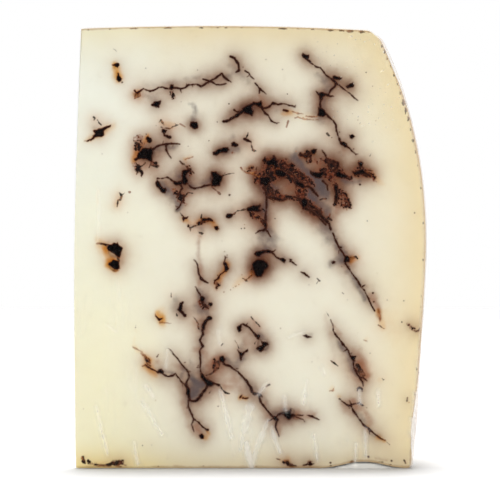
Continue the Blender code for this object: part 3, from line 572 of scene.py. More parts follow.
BROWN = [
    [(15.9, 118.4, 0.67)],
    [(7.2, 107.8, 0.61), (7.6, 107.4, 0.86), (7.3, 106.9, 0.49)],
    [(8.3, 106.9, 0.37), (8.9, 106.1, 0.37), (9.5, 105.4, 0.43)],
    [(30.7, 115.5, 0.49)],
    [(30.7, 114.6, 0.43)],
    [(31.6, 115.8, 0.43)],
    [(31.3, 113.3, 0.37)],
    [(45.1, 106.3, 0.49)],
    [(27.9, 106.9, 0.49), (28.4, 106.1, 0.55), (28.8, 105.4, 0.37)],
    [(27.9, 104.8, 0.37), (29.3, 104.4, 0.43), (30.7, 104.1, 0.43), (31.6, 104.9, 0.49), (33.1, 105.4, 0.37)],
    [(23.3, 102.6, 0.49)],
    [(20.5, 102.1, 0.61)],
    [(20.2, 99.8, 0.61), (21.1, 99.5, 0.74), (21, 98.3, 0.55), (20.4, 98.9, 0.49)],
    [(24.5, 94.6, 0.61), (24.8, 93.1, 0.49), (26.1, 92.6, 0.49), (26.8, 92.3, 0.31)],
    [(24.5, 93.1, 0.43), (24.2, 92.2, 0.31)],
    [(23, 93.7, 0.61), (21.1, 92.2, 0.67), (20.4, 90.3, 0.43)],
    [(34.9, 93.4, 0.37), (36.2, 92.2, 0.43), (36.8, 91.9, 0.49)],
    [(35.6, 83.9, 0.37), (36.2, 84.7, 0.43), (37.7, 84.4, 0.28)],
    [(46.6, 89.7, 0.49), (48.4, 90.3, 0.31), (50.3, 90.5, 0.25)],
    [(43.5, 86.3, 0.43), (44.8, 85.1, 0.37), (46, 84.2, 0.74)],
    [(36.9, 73.8, 0.55), (38.3, 74.4, 0.49), (39.9, 74.8, 0.49)],
    [(54, 101.4, 0.55), (54.4, 102.3, 0.43), (54.7, 103.1, 0.28)],
    [(55.5, 100.2, 0.49), (55.8, 98.6, 0.61)],
    [(58.9, 91.6, 0.67), (60.1, 90, 0.8)],
    [(57.3, 92.5, 0.43), (57, 91, 0.49)],
    [(65.9, 89.1, 0.49), (68.1, 88.8, 0.49)],
    [(76.7, 82.4, 0.67), (78.5, 82.7, 0.67)],
    [(72.4, 94.6, 0.49), (73, 93.7, 0.49)],
    [(78.8, 77.1, 0.74), (80.3, 76.2, 0.61)],
    [(50.3, 78.1, 0.43), (51.5, 79, 0.37), (53.7, 79.4, 0.49)],
    [(58.9, 79.6, 0.43), (60.1, 78.7, 0.31)],
    [(56.1, 76.8, 0.61), (57, 76.5, 0.61)],
    [(58.3, 76.8, 0.61), (59.5, 75.9, 0.74), (60.4, 74.7, 0.74)],
    [(53.5, 74.8, 0.46)],
    [(52.5, 73.6, 0.46)],
    [(53.5, 73.7, 0.52)],
    [(90.8, 91.6, 0.43), (92.9, 91.3, 0.31)],
    [(91.7, 90, 0.49), (92.6, 89.4, 0.61)],
    [(84.3, 83.9, 0.61), (84.6, 82.7, 0.61)],
    [(85.6, 82.7, 0.49)],
    [(85.3, 81.1, 0.55)],
    [(85.9, 64.4, 0.74), (87.7, 64.9, 0.61), (88.3, 64.3, 0.43)],
    [(9.5, 68.9, 0.55), (10.7, 68.7, 0.61), (11.6, 68.4, 0.92)],
    [(14.7, 64.9, 0.8), (14.9, 63.7, 0.8)],
    [(15.1, 84.6, 0.4), (15.7, 83.6, 0.74), (15.4, 82.5, 0.61), (14.6, 82.4, 0.49), (14.6, 81.3, 0.74),
     (14.4, 80.2, 0.43)],
    [(34.3, 77.6, 0.37), (33.7, 78.7, 0.25)],
    [(40.2, 76.8, 0.49), (40.3, 77.9, 0.31)],
    [(46.6, 69.8, 0.25)],
    [(55.8, 60.9, 0.61), (55.7, 59.4, 0.49), (54.9, 58.6, 0.43), (54, 57.9, 0.4)],
    [(53, 58.3, 0.31), (53.8, 57.8, 0.43), (54.6, 57.4, 0.43)],
    [(50.7, 55.8, 0.49)],
    [(50, 55.4, 0.4)],
    [(44.3, 57.7, 0.49), (44.5, 56.6, 0.37)],
    [(31, 53.8, 0.28), (31.1, 52.6, 0.43)],
    [(32.6, 47.5, 0.43), (32.8, 46.8, 0.4)],
    [(37.7, 46.5, 0.28), (38.6, 45.6, 0.43), (39.4, 44.2, 0.61)],
    [(55.5, 46.5, 0.31), (56.4, 45.6, 0.46), (57.3, 44.6, 0.55), (58.3, 43.4, 0.49)],
    [(56.7, 38.2, 0.43), (57.2, 39.1, 0.31)],
    [(50.6, 39.1, 0.25), (51.4, 37.7, 0.31), (51.8, 36.7, 0.43)],
    [(41.7, 28.5, 0.49), (43.2, 29, 0.43), (44.2, 29.9, 0.55)],
    [(46, 25.3, 0.43), (46.6, 24.1, 0.49), (47.5, 23.2, 0.58), (48.8, 22.9, 0.43)],
    [(42.6, 22.9, 0.28), (43.2, 23.8, 0.31)],
    [(60.1, 25, 0.31), (60.6, 25.5, 0.49), (61.3, 25.7, 0.43)],
    [(80, 33, 0.49), (81.3, 32.1, 0.55), (82.2, 31.4, 0.43)],
    [(96.1, 27.2, 0.52)],
    [(94.5, 44, 0.34), (95.7, 43.3, 0.46), (96.6, 42.8, 0.31)],
    [(96.6, 8.6, 0.31), (97.2, 8.1, 0.28), (98.1, 7.2, 0.18)],
    [(89.9, 19.4, 0.31), (91.1, 18.6, 0.18)],
    [(63.2, 3.1, 0.31), (64.4, 2.6, 0.52)],
    [(101.8, 44.9, 0.55)],
    [(97.3, 51.6, 0.46)],
    [(92.1, 35.3, 0.37)],
    [(20, 43.1, 0.46)],
    [(78.5, 48.2, 0.21), (79.4, 46.6, 0.25)],
    [(102.4, 2.5, 0.43), (102.9, 1.6, 0.37)],
    [(75.7, 58.3, 0.25), (76.6, 57.5, 0.34)],
    [(83.5, 53.9, 0.31), (84, 53.6, 0.34)],
    [(46.3, 37.6, 0.31), (46.9, 38.2, 0.31)],
    [(45.4, 19, 0.55)],
    [(13.3, 128.7, 0.31)],
    [(23.2, 122.8, 0.4)],
    [(39.1, 122.2, 0.34)],
    [(30.8, 114.9, 0.31)],
    [(34, 112.5, 0.34)],
    [(48.7, 111.9, 0.4)],
    [(48.8, 106.3, 0.31)],
    [(9.8, 96.5, 0.31)],
    [(36.2, 98.9, 0.34)],
    [(42.6, 100.5, 0.34)],
    [(60.1, 125.5, 0.31)],
    [(65.2, 122.4, 0.31)],
    [(66.7, 114.9, 0.34)],
    [(86.6, 108.8, 0.37)],
    [(88.9, 105.7, 0.31)],
    [(90.8, 121.5, 0.49)],
    [(92.8, 117.3, 0.37)],
    [(92, 95.9, 0.31)],
    [(105.7, 78.4, 0.46)],
    [(91.2, 75.9, 0.34)],
    [(62.9, 76.6, 0.37)],
    [(80.3, 101.5, 0.43)],
    [(85.1, 51.7, 0.31)],
    [(102.4, 51.4, 0.43)],
    [(107.6, 49.5, 0.31)],
    [(103.9, 44, 0.49)],
    [(107, 42.5, 0.61)],
    [(95.8, 27.5, 0.43)],
    [(74.2, 32.7, 0.31)],
    [(52.4, 79, 0.31)],
    [(51.1, 56, 0.31)],
    [(25, 7.1, 0.34)],
    [(22.2, 7, 0.37)],
    [(67.2, 87.3, 0.31)],
]
ORANGE = [
    [(18.2, 84.7, 0.8)],
    [(65.6, 110, 0.55), (66.9, 109.7, 0.43)],
    [(68.1, 109.5, 0.43), (69.6, 109, 0.43), (71.5, 108.7, 0.31)],
    [(69, 107.5, 0.37), (69.9, 107.8, 0.37), (71.5, 107.1, 0.4), (73.3, 106.9, 0.37), (76.1, 106.9, 0.31)],
    [(72.4, 108.1, 0.31), (74.2, 107.8, 0.34), (75.7, 108, 0.28)],
    [(66.9, 106.6, 0.43), (66.4, 104.8, 0.43)],
    [(33.7, 105.7, 0.4), (35.3, 104.8, 0.31)],
    [(35.3, 94.8, 0.4), (36.5, 95.2, 0.43), (37.7, 95.6, 0.31)],
    [(52.4, 92.3, 0.61), (53, 91.4, 0.46), (54.3, 90.6, 0.46), (55.5, 90.5, 0.49), (57, 90, 0.49),
     (58, 89.4, 0.49)],
    [(8.3, 69, 0.43), (9.5, 68.9, 0.67), (10.7, 68.7, 0.74)],
    [(52.7, 59.4, 0.31)],
    [(51.8, 56.4, 0.34)],
    [(49.2, 54.8, 0.37)],
    [(47.2, 54.1, 0.31)],
    [(27.6, 44.8, 0.74), (29.1, 44.6, 0.61), (31, 44.5, 0.28)],
    [(27.3, 48, 0.37)],
    [(19.3, 37.3, 0.34), (20.8, 36.5, 0.46), (22.1, 35.7, 0.43)],
    [(21.8, 35.3, 0.4), (23, 34.2, 0.61), (23.9, 33.3, 0.74)],
    [(22.1, 31.3, 0.28), (23.2, 31.9, 0.49)],
    [(13, 61, 0.49), (13.8, 60.4, 0.61), (14.9, 60.7, 0.49)],
    [(56, 61, 0.55), (55.6, 59.4, 0.49), (54.9, 58.6, 0.49), (54, 57.9, 0.43), (53.2, 58.3, 0.31)],
    [(65.9, 2.3, 0.74), (66.9, 2.3, 0.8), (67, 1.4, 0.74)],
    [(79.6, 23.7, 0.43), (80.7, 23.8, 0.43)],
    [(104, 20.2, 0.31)],
    [(94.5, 48.9, 0.61), (95.1, 46.8, 0.74), (95.1, 45.2, 0.55)],
    [(3.7, 3.1, 0.49), (4.4, 2.4, 0.43)],
    [(55.7, 78.5, 0.43)],
    [(56.9, 77.6, 0.46)],
    [(58.1, 76.7, 0.43)],
    [(59.3, 78.1, 0.4)],
    [(31.8, 85.6, 0.43)],
    [(69.3, 97.4, 0.43)],
    [(90.2, 39.3, 0.55), (91.1, 39.1, 0.43)],
]

# %% [markdown]
# The paste is also tinted around a vein: greyer beside many veins, pinkish brown along a crack, orange
# and straw where the juice has dried. These shades are broad strokes with a strength in front. The last
# ones are rubble: crumbly paste full of fine truffle, red-brown and black.

# %% Shades
SMOKE = [
    (0.25, [(23, 117.9, 1.84), (35.3, 119.2, 2.45), (41.4, 119.8, 2.15), (49.1, 121, 1.84)]),
    (0.3, [(23, 114.6, 2.45), (25.1, 114, 2.76), (27.6, 114.6, 2.15)]),
    (0.55, [(37.1, 111.8, 1.53), (38.3, 109.4, 1.84), (38.3, 107.2, 2.45)]),
    (0.35, [(49.7, 123.5, 2.15), (50.9, 121, 2.45), (48.4, 119.8, 2.15)]),
    (0.3, [(52.1, 119.8, 1.84), (55.2, 118.6, 1.84)]),
    (0.3, [(60.7, 111.8, 1.84), (63.2, 110, 1.84)]),
    (0.5, [(76.1, 120.4, 2.15), (79.1, 117.9, 2.76), (79.7, 115.8, 2.45)]),
    (0.45, [(77.3, 112.7, 1.84), (77.3, 111.8, 1.84), (77.9, 109.4, 2.45), (77.3, 106.3, 2.45)]),
    (0.35, [(81.6, 105.7, 1.53), (82.2, 102.6, 1.53), (83.1, 99.5, 2.15)]),
    (0.55, [(47.8, 97.1, 2.45), (50.9, 98, 2.15)]),
    (0.4, [(48.8, 100.2, 1.84), (50.3, 101.7, 1.84)]),
    (0.5, [(23.6, 96.8, 4.29), (26.4, 98.3, 2.15), (29.4, 98.9, 2.15), (32.5, 99.2, 1.23)]),
    (0.6, [(30, 86, 2.45), (31.9, 83.9, 3.68), (33.4, 81.4, 2.76), (33.1, 79.6, 1.53)]),
    (0.5, [(33.1, 89.1, 3.68), (35.6, 89.7, 3.68)]),
    (0.45, [(37.4, 86.3, 2.15), (41.4, 87.3, 2.45), (44.8, 89.1, 3.99)]),
    (0.55, [(28.2, 87.3, 2.76), (29.1, 84.8, 1.84)]),
    (0.55, [(67.5, 95.6, 1.53), (69.6, 93.7, 3.68), (71.1, 91.6, 3.37)]),
    (0.85, [(73.9, 89.4, 2.45), (75.7, 87.9, 3.07), (77.6, 85.7, 2.45)]),
    (0.7, [(73.3, 83.9, 2.45), (75.1, 82.7, 2.76)]),
    (0.4, [(77.3, 80.5, 3.37), (79.4, 78.7, 3.37)]),
    (0.5, [(61.6, 87, 2.45), (63.2, 85.4, 2.45)]),
    (0.3, [(68.4, 95.2, 1.23), (70.2, 97.7, 1.84)]),
    (0.6, [(84, 88.5, 2.15), (86.5, 88.2, 2.45), (88.6, 88.2, 1.84)]),
    (0.55, [(60.1, 86, 2.45), (60.4, 82.4, 2.15), (60.1, 78.1, 2.15), (60.1, 73.8, 2.76)]),
    (0.5, [(58.9, 72.5, 3.07), (60.7, 70.1, 4.29), (60.7, 67.3, 3.07)]),
    (0.25, [(55.8, 70.1, 3.68), (63.8, 69.2, 3.68)]),
    (0.4, [(37.7, 74.4, 1.84), (40.5, 72.9, 1.84)]),
    (0.35, [(13.5, 67.6, 4.91)]),
    (0.3, [(13.5, 62.7, 3.68)]),
    (0.45, [(32.5, 51.7, 2.45), (32.8, 49.5, 3.68), (34.6, 47.7, 2.15)]),
    (0.55, [(39.6, 54.8, 2.15), (40.8, 51.7, 3.07), (41.7, 49.8, 2.15)]),
    (0.45, [(38.6, 49.2, 2.76), (40.8, 48, 3.37), (42.3, 47.7, 2.15)]),
    (0.35, [(39.9, 44, 3.07), (40.5, 39.4, 2.76), (40.2, 34.5, 2.45), (40.2, 30.8, 2.45)]),
    (0.85, [(37.7, 27.1, 2.45), (38.9, 25, 3.99), (38, 22.5, 3.07)]),
    (0.75, [(40.8, 25.9, 2.45), (42.9, 25.9, 2.45)]),
    (0.35, [(38.3, 30.2, 2.76), (37.4, 32.7, 1.84)]),
    (0.45, [(33.7, 32.1, 1.53), (34.9, 29.6, 2.15), (34.3, 27.8, 1.84)]),
    (0.6, [(29.4, 29.6, 1.84), (31.3, 29, 1.53)]),
    (0.55, [(47.8, 33, 2.15), (50.9, 31.4, 2.76), (52.1, 32.7, 2.45)]),
    (0.4, [(52.7, 28.4, 1.84), (55.2, 25.9, 2.15), (57, 24.1, 2.15)]),
    (0.35, [(53, 34.5, 2.45), (52.7, 37.6, 2.45)]),
    (0.5, [(57.6, 40.6, 2.45), (59.5, 37.9, 3.37), (58, 36.3, 2.45)]),
    (0.35, [(58.9, 21.6, 1.84), (61.3, 17.9, 2.15), (63.2, 15.5, 2.76)]),
    (0.55, [(64.4, 16.4, 2.15), (66.9, 16.7, 3.37), (68.4, 16.1, 1.84)]),
    (0.22, [(65.6, 13.7, 3.07), (71.8, 13.7, 2.45)]),
    (0.6, [(82.8, 38.5, 2.15), (84.6, 35.1, 2.76), (86.5, 31.4, 2.45), (88, 28.4, 2.15)]),
    (0.62, [(78.2, 74.4, 3.68), (80.3, 70.1, 3.07), (83.1, 65.8, 2.76)]),
    (0.62, [(80.3, 63.3, 2.76), (83.1, 64, 2.45), (85.3, 64, 2.45)]),
    (0.62, [(85.9, 60.3, 2.45), (88.3, 56.6, 2.45), (90.8, 52.3, 2.15)]),
    (0.32, [(72.1, 40.6, 2.15), (73.9, 40.6, 2.45)]),
    (0.4, [(65.6, 64, 2.15), (68.1, 62.7, 1.53)]),
    (0.3, [(71.8, 59.7, 1.53), (73, 58.7, 1.23)]),
    (0.35, [(57.6, 66.1, 2.45), (60.1, 66.7, 2.15)]),
    (0.25, [(58.3, 61.5, 6.13)]),
    (0.45, [(87.1, 17.3, 2.15), (90.2, 13.7, 2.15), (93.8, 10, 1.53)]),
    (0.35, [(36.5, 20.4, 2.15), (37.1, 17.3, 2.15)]),
    (0.3, [(15.3, 83, 2.45)]),
    (0.35, [(56.4, 80.5, 3.68)]),
    (0.3, [(49.1, 77.8, 3.07)]),
    (0.3, [(9.2, 102.9, 3.68), (6.1, 101.1, 1.84)]),
    (0.35, [(72.1, 126.5, 2.76)]),
    (0.25, [(82.2, 119.8, 2.45)]),
    (0.25, [(85.9, 117.6, 2.45)]),
    (0.35, [(55.5, 110.3, 4.29), (51.5, 108.7, 2.76)]),
    (0.3, [(29.1, 102.9, 2.76)]),
    (0.35, [(26.4, 111.8, 2.76)]),
    (0.45, [(69.3, 95.2, 2.15), (71.5, 92.8, 2.45), (73.3, 90.3, 2.45)]),
    (0.6, [(74.2, 88.5, 2.76), (76.7, 86, 3.07), (78.8, 83.6, 2.76)]),
    (0.5, [(72.4, 86, 1.84), (74.8, 83, 2.45)]),
    (0.3, [(77.3, 80.5, 2.76), (79.7, 78.7, 3.07)]),
    (0.35, [(65, 86.7, 2.76), (68.7, 87.3, 3.07)]),
]
BLUSH = [
    (0.45, [(58.3, 114.3, 1.84), (60.1, 111.8, 2.76)]),
    (0.25, [(80.3, 114.3, 2.15), (84, 114.3, 2.15)]),
    (0.3, [(83.7, 97.7, 1.84), (86.5, 97.7, 2.15)]),
    (0.5, [(74.5, 95.2, 2.45), (76.7, 93.4, 3.68), (76.1, 91.6, 2.45)]),
    (0.45, [(65.6, 85.4, 3.07), (68.1, 86, 3.07)]),
    (0.45, [(82.2, 87.3, 2.15), (82.8, 83, 2.45), (82.2, 78.7, 2.45)]),
    (0.4, [(70.5, 89.7, 4.29), (67.5, 88.5, 4.29)]),
    (0.5, [(39.6, 71.3, 1.84), (39.9, 66.4, 1.84), (39.9, 61.5, 2.15), (39.6, 56.6, 2.15)]),
    (0.3, [(38.9, 45.6, 2.76), (42, 41.9, 2.45)]),
    (0.45, [(38.3, 36.3, 2.45), (42, 35.7, 2.76), (41.7, 31.4, 2.76)]),
    (0.6, [(38.9, 12.7, 2.76), (39.9, 10.6, 2.15)]),
    (0.35, [(34.9, 19.5, 2.76), (35.9, 14.9, 2.76), (37.7, 10.6, 2.76)]),
    (0.5, [(49.7, 27.8, 3.68), (52.1, 24.7, 3.68), (48.4, 25.3, 3.68)]),
    (0.45, [(55.8, 44.9, 1.84), (57.3, 42.5, 2.45)]),
    (0.3, [(54, 40.6, 3.07), (54.6, 37.9, 2.76)]),
    (0.5, [(69.6, 15.8, 2.76), (73.9, 15.5, 2.45)]),
    (0.35, [(70.5, 17.9, 1.84), (74.8, 17.3, 1.84)]),
    (0.4, [(59.5, 19.8, 2.45), (58.9, 16.7, 2.76), (60.7, 14.9, 2.45)]),
    (0.45, [(63.8, 12.4, 1.84), (64.1, 10, 1.53)]),
    (0.8, [(88.9, 31.4, 2.76), (90.2, 29, 2.76)]),
    (0.45, [(86.5, 36.3, 2.15), (89.6, 33.9, 2.45), (92, 29.6, 2.45)]),
    (0.6, [(92.6, 52.9, 2.15), (94.5, 49.2, 2.76), (95.1, 46.2, 2.15)]),
    (0.5, [(86.5, 20.4, 2.45), (89.6, 17.9, 2.76), (92.6, 13.7, 2.45)]),
    (0.35, [(83.4, 19.8, 2.15), (85.9, 16.7, 2.45)]),
    (0.4, [(81, 44.3, 1.53), (82.8, 41.3, 1.84)]),
    (0.35, [(60.4, 65.2, 2.15), (62.6, 65.2, 2.15)]),
    (0.35, [(34, 31.4, 2.76), (31.3, 32.7, 2.45)]),
    (0.35, [(27, 32.1, 2.45)]),
    (0.3, [(78.5, 46.8, 1.53), (81, 32.7, 2.45)]),
    (0.3, [(30, 87.9, 3.07), (36.8, 83.9, 2.76)]),
    (0.3, [(41.7, 82.4, 2.45)]),
    (0.3, [(44.2, 32.1, 2.45)]),
    (0.25, [(52.1, 100.2, 2.45), (55.8, 98.9, 2.45)]),
    (0.4, [(94.5, 2.6, 1.23), (96.9, 2.6, 1.23)]),
    (0.45, [(44.2, 32.7, 2.15), (46.6, 34.2, 2.15)]),
    (0.35, [(76.1, 111.2, 2.15), (76.7, 114, 2.15)]),
]
STAIN = [
    (0.6, [(14.1, 123.5, 2.15), (15, 119.8, 2.76)]),
    (0.3, [(6.1, 100.8, 2.45), (9.8, 102.9, 3.07), (12.9, 105.1, 2.45)]),
    (0.45, [(20.5, 114.6, 2.45)]),
    (0.4, [(69.6, 108.7, 2.76), (65.6, 109.4, 2.15), (73.6, 107.5, 2.15)]),
    (0.45, [(28.5, 106, 1.84), (31.9, 104.8, 1.84)]),
    (0.5, [(23.6, 102.6, 1.23), (20.8, 99.2, 2.15), (19.6, 94.6, 1.84)]),
    (0.45, [(35.6, 94.9, 1.53), (37.1, 95.6, 1.23)]),
    (0.36, [(61.9, 94.6, 2.15), (61.9, 92.8, 2.45)]),
    (0.3, [(55.8, 92.2, 2.45), (57.6, 90.3, 2.45), (53.4, 91.6, 1.84)]),
    (0.47, [(71.5, 84.8, 2.45)]),
    (0.39, [(84.6, 83.6, 2.45), (84.9, 80.8, 2.15)]),
    (0.55, [(91.4, 91.3, 1.53), (93.8, 89.1, 2.15), (96, 87.6, 1.23)]),
    (0.45, [(35.6, 76.2, 2.45), (37.4, 75, 2.15), (41.4, 75.9, 2.45), (43.5, 75, 2.15)]),
    (0.4, [(44.8, 73.8, 2.15)]),
    (0.5, [(14.7, 83.3, 2.45), (14.4, 81.1, 2.15)]),
    (0.75, [(8.9, 69.5, 1.84), (10.1, 67.3, 2.76), (11.3, 65.2, 2.76)]),
    (0.6, [(13.2, 64.6, 2.76), (11.3, 62.4, 1.84), (13.8, 60.6, 1.84)]),
    (0.6, [(86.5, 64, 2.15), (88, 64.6, 1.84)]),
    (0.45, [(47.8, 62.7, 2.45), (46, 59, 2.45), (44.8, 56, 2.15)]),
    (0.5, [(54.6, 58.7, 2.15), (53, 58.7, 1.84), (50.9, 56, 1.53)]),
    (0.45, [(56.1, 60.3, 2.15)]),
    (0.65, [(27.6, 47.7, 2.76), (28.5, 44.6, 2.45)]),
    (0.6, [(20.2, 37, 1.84), (22.7, 34.5, 2.45), (23.9, 32.7, 2.45)]),
    (0.45, [(23.3, 30.8, 2.76), (25.7, 28.7, 2.45)]),
    (0.45, [(52.4, 21.9, 1.84), (54.3, 21.3, 1.84)]),
    (0.45, [(41.7, 10, 2.15), (42.6, 11.5, 1.53)]),
    (0.6, [(94.8, 47.4, 2.45), (95.7, 43.7, 1.84)]),
    (0.3, [(98.1, 46.8, 4.29), (100, 39.4, 4.29)]),
    (0.5, [(80.3, 24.4, 1.84)]),
    (0.3, [(82.2, 22.2, 1.53)]),
    (0.55, [(66.2, 2.6, 1.84), (65, 2.6, 1.53)]),
    (0.35, [(87.7, 90.6, 2.45)]),
    (0.25, [(74.8, 97.1, 2.15), (71.8, 95.9, 2.15)]),
    (0.25, [(63.5, 91, 2.76)]),
    (0.35, [(95.7, 27.1, 2.15)]),
    (0.45, [(93.8, 9.4, 1.53), (96.3, 8.1, 1.23)]),
    (0.4, [(91.4, 12.4, 1.84)]),
    (0.4, [(90.8, 39.4, 1.53)]),
    (0.5, [(8.6, 1.4, 1.23), (14.1, 1.4, 1.23)]),
    (0.5, [(4, 2.9, 1.53)]),
    (0.3, [(8.7, 85.4, 0.61), (8.7, 77.8, 0.61), (8.7, 70.7, 0.8)]),
    (0.3, [(20.1, 42.5, 0.61), (19.6, 38.5, 0.92)]),
]
RUBBLE = [
    (0.8, [(65.6, 93.7, 1.84), (67.2, 92.2, 1.84)]),
    (0.9, [(66.9, 91, 2.45), (69, 89.1, 2.45), (70.2, 87.3, 2.15)]),
    (0.95, [(71.5, 84.8, 2.45), (71.8, 82.4, 2.76)]),
    (0.9, [(73.3, 80.5, 2.45), (74.8, 79, 2.76), (76.1, 78.1, 1.84)]),
    (0.7, [(69.3, 84.5, 1.53), (70.5, 83, 1.84)]),
    (0.65, [(60.7, 85.4, 1.53), (62.6, 83.6, 1.84), (65.6, 82.7, 1.53)]),
    (0.8, [(71.5, 95.9, 1.84), (73.6, 96.8, 2.15), (74.2, 94.6, 1.23)]),
    (0.85, [(79.7, 94.6, 2.45), (81, 92.8, 2.76), (80, 90.3, 2.15), (78.8, 91.6, 1.53)]),
    (0.8, [(82.8, 90.3, 2.15), (85.3, 89.4, 1.53)]),
    (0.7, [(81.6, 87.3, 1.84), (82.2, 83.6, 2.15), (81.9, 81.1, 1.53)]),
    (0.7, [(84, 84.2, 1.53), (84.9, 81.1, 1.84)]),
    (0.75, [(87.7, 91, 2.15), (90.8, 91, 2.15), (92.9, 89.4, 1.53)]),
    (0.55, [(88.9, 93.7, 1.53)]),
    (0.55, [(54, 91, 1.23), (55.8, 92.2, 1.53), (58, 90.3, 1.84)]),
    (0.7, [(55.8, 78.1, 1.84), (57.6, 77.1, 1.84), (59.2, 75.9, 1.84), (60.1, 74.4, 1.53)]),
    (0.6, [(20.8, 101.4, 1.84), (20.8, 98.6, 1.84)]),
    (0.5, [(20.2, 93.4, 1.84), (21.5, 91, 1.53)]),
    (0.6, [(25.1, 94, 1.53), (26.4, 92.5, 1.23)]),
    (0.6, [(32.2, 86, 1.53), (34.3, 84.2, 2.15), (34.6, 81.4, 1.53)]),
    (0.6, [(36.8, 90.3, 1.23), (35.9, 92.5, 1.23)]),
    (0.5, [(41.7, 75.6, 1.53), (40.2, 75, 1.23)]),
    (0.6, [(20.5, 114.6, 1.84)]),
    (0.5, [(30.7, 115.5, 1.23), (31.3, 114, 1.23)]),
    (0.5, [(45.1, 57.2, 1.23), (44.8, 55.7, 1.23)]),
    (0.55, [(40.2, 50.5, 1.84), (41.7, 49.8, 1.53)]),
    (0.7, [(44.8, 32.1, 1.84), (43.8, 30.2, 1.23)]),
    (0.55, [(23.3, 33.3, 1.53), (23.9, 31.7, 1.23)]),
    (0.75, [(4, 3.2, 0.98), (4.3, 2, 0.98)]),
    (0.85, [(6.1, 1.3, 0.8), (10.4, 1.2, 0.8), (17.2, 1.4, 0.67)]),
    (0.9, [(12.9, 1.6, 0.92), (15.6, 1.9, 0.98)]),
    (0.7, [(65.6, 2, 1.23), (67.5, 0.9, 1.23)]),
    (0.6, [(73.6, 1.4, 1.23)]),
    (0.5, [(79.7, 77.5, 1.23)]),
    (0.45, [(49.7, 97.1, 1.23)]),
    (0.55, [(36.8, 73.8, 1.23)]),
    (0.5, [(106.7, 42.5, 1.53), (104, 44, 1.23)]),
    (0.85, [(60.7, 94.6, 1.84), (61.9, 92.8, 2.15), (60.7, 91, 2.45), (63.2, 91.6, 2.15)]),
    (1, [(57.3, 88.5, 2.15), (60.1, 89.1, 2.76), (61.9, 89.7, 2.45)]),
    (0.95, [(63.2, 90.6, 2.76), (65.6, 91.3, 2.76), (67.5, 90.3, 2.45)]),
    (0.75, [(64.1, 93.4, 1.53), (65, 94.6, 1.23)]),
    (0.8, [(69.3, 89.1, 2.45), (71.1, 87.3, 2.15), (70.8, 89.1, 1.53)]),
    (0.7, [(60.4, 86.7, 2.15), (61.3, 83.6, 1.53)]),
    (0.75, [(63.2, 83.1, 1.53), (66.2, 82.8, 1.53), (68.7, 82.7, 1.23)]),
    (0.6, [(76.1, 95.2, 1.23), (77.3, 93.7, 1.23)]),
    (0.65, [(77.3, 91.6, 1.53), (79.7, 89.1, 1.53)]),
    (0.6, [(72.4, 89.1, 1.53), (74.2, 86.7, 1.53)]),
]

# %% [markdown]
# Where the film has rubbed the rim of the cut face, the dark rind shows as short dashes along its edge.
# They are kept as their place along the edge, their length and their width.

# %% Dashes along the rind
TOP_DASHES = [
    (5.5, 0.5, 0.35), (12.3, 0.6, 0.35), (19.8, 2.8, 0.4), (24.2, 0.6, 0.4), (30.0, 1.8, 0.7),
    (40.3, 1.5, 0.4), (45.4, 0.6, 0.4), (47.8, 0.6, 0.35), (52.7, 0.6, 0.35), (65.3, 2.5, 0.5),
    (69.9, 0.9, 0.4), (74.5, 0.9, 0.4), (80.0, 1.8, 0.5), (83.4, 1.2, 0.8), (85.9, 2.0, 0.95),
    (89.5, 1.8, 0.8), (91.8, 0.6, 0.5),
]
SIDE_DASHES = [
    (129.6, 0.8, 0.5), (127.9, 1.1, 0.6), (125.9, 0.8, 0.45), (123.4, 0.7, 0.4), (120.6, 0.5, 0.4),
    (117.9, 0.9, 0.5), (115.2, 0.8, 0.5), (112.2, 1.7, 0.9), (109.8, 2.2, 0.8), (107.4, 1.4, 0.7),
    (104.0, 0.5, 0.4), (100.6, 0.8, 0.45), (97.1, 0.9, 0.5), (93.0, 0.6, 0.4), (86.0, 0.7, 0.35),
    (75.3, 0.6, 0.5), (64.0, 0.5, 0.3), (53.0, 0.8, 0.4), (43.0, 0.6, 0.3), (30.5, 0.9, 0.4),
    (22.8, 0.8, 0.4), (15.5, 0.7, 0.4),
]
FOOT_DASHES = [
    (9.5, 3.0, 0.35), (14.9, 1.9, 0.6), (27.0, 0.8, 0.3), (41.0, 0.9, 0.3), (57.0, 1.0, 0.35),
    (69.0, 2.0, 0.4), (80.0, 0.7, 0.5), (86.6, 1.2, 0.45), (94.8, 2.6, 0.4), (98.4, 0.8, 0.5),
]


def dash(r, z, ahead, drops, wide):
    """A short stroke of three nodes: ahead to each side along the edge, and in from it by the drops."""
    return [(r - ahead[0] - drops[0][0], z - ahead[1] - drops[0][1], 0.5 * wide),
            (r - drops[1][0], z - drops[1][1], wide),
            (r + ahead[0] - drops[2][0], z + ahead[1] - drops[2][1], 0.4 * wide)]


RIND_DASHES = [dash(r, float(top_height(r)), (far / 2, 0), ((0, 0.8), (0, 0.7), (0, 0.85)), wide)
               for r, far, wide in TOP_DASHES]
RIND_DASHES += [dash(float(side_radius(z)), z, (0, far / 2), ((1.1, 0), (0.95, 0), (1.2, 0)), wide)
                for z, far, wide in SIDE_DASHES]
RIND_DASHES += [dash(r, float(underside_height(r)), (far / 2, 0), ((0, -0.5), (0, -0.6), (0, -0.5)), wide)
                for r, far, wide in FOOT_DASHES]
print("lumps:", len(LUMPS), "patches:", len(PATCHES), "cracks:", len(CRACKS))
print("shades:", len(SMOKE + BLUSH + STAIN + RUBBLE), "dashes:", len(RIND_DASHES))

# %% [markdown]
# ### Making them ragged
#
# A real crack wanders at every scale, swells and thins, and sends out twigs, and a lump of truffle is torn,
# not cut. A modeller could draw all that, but it is quicker to let seeded chance add it to what was drawn.
# Each stroke becomes a row of small discs, close enough to merge, and each outline gets chips broken out of
# its edges.


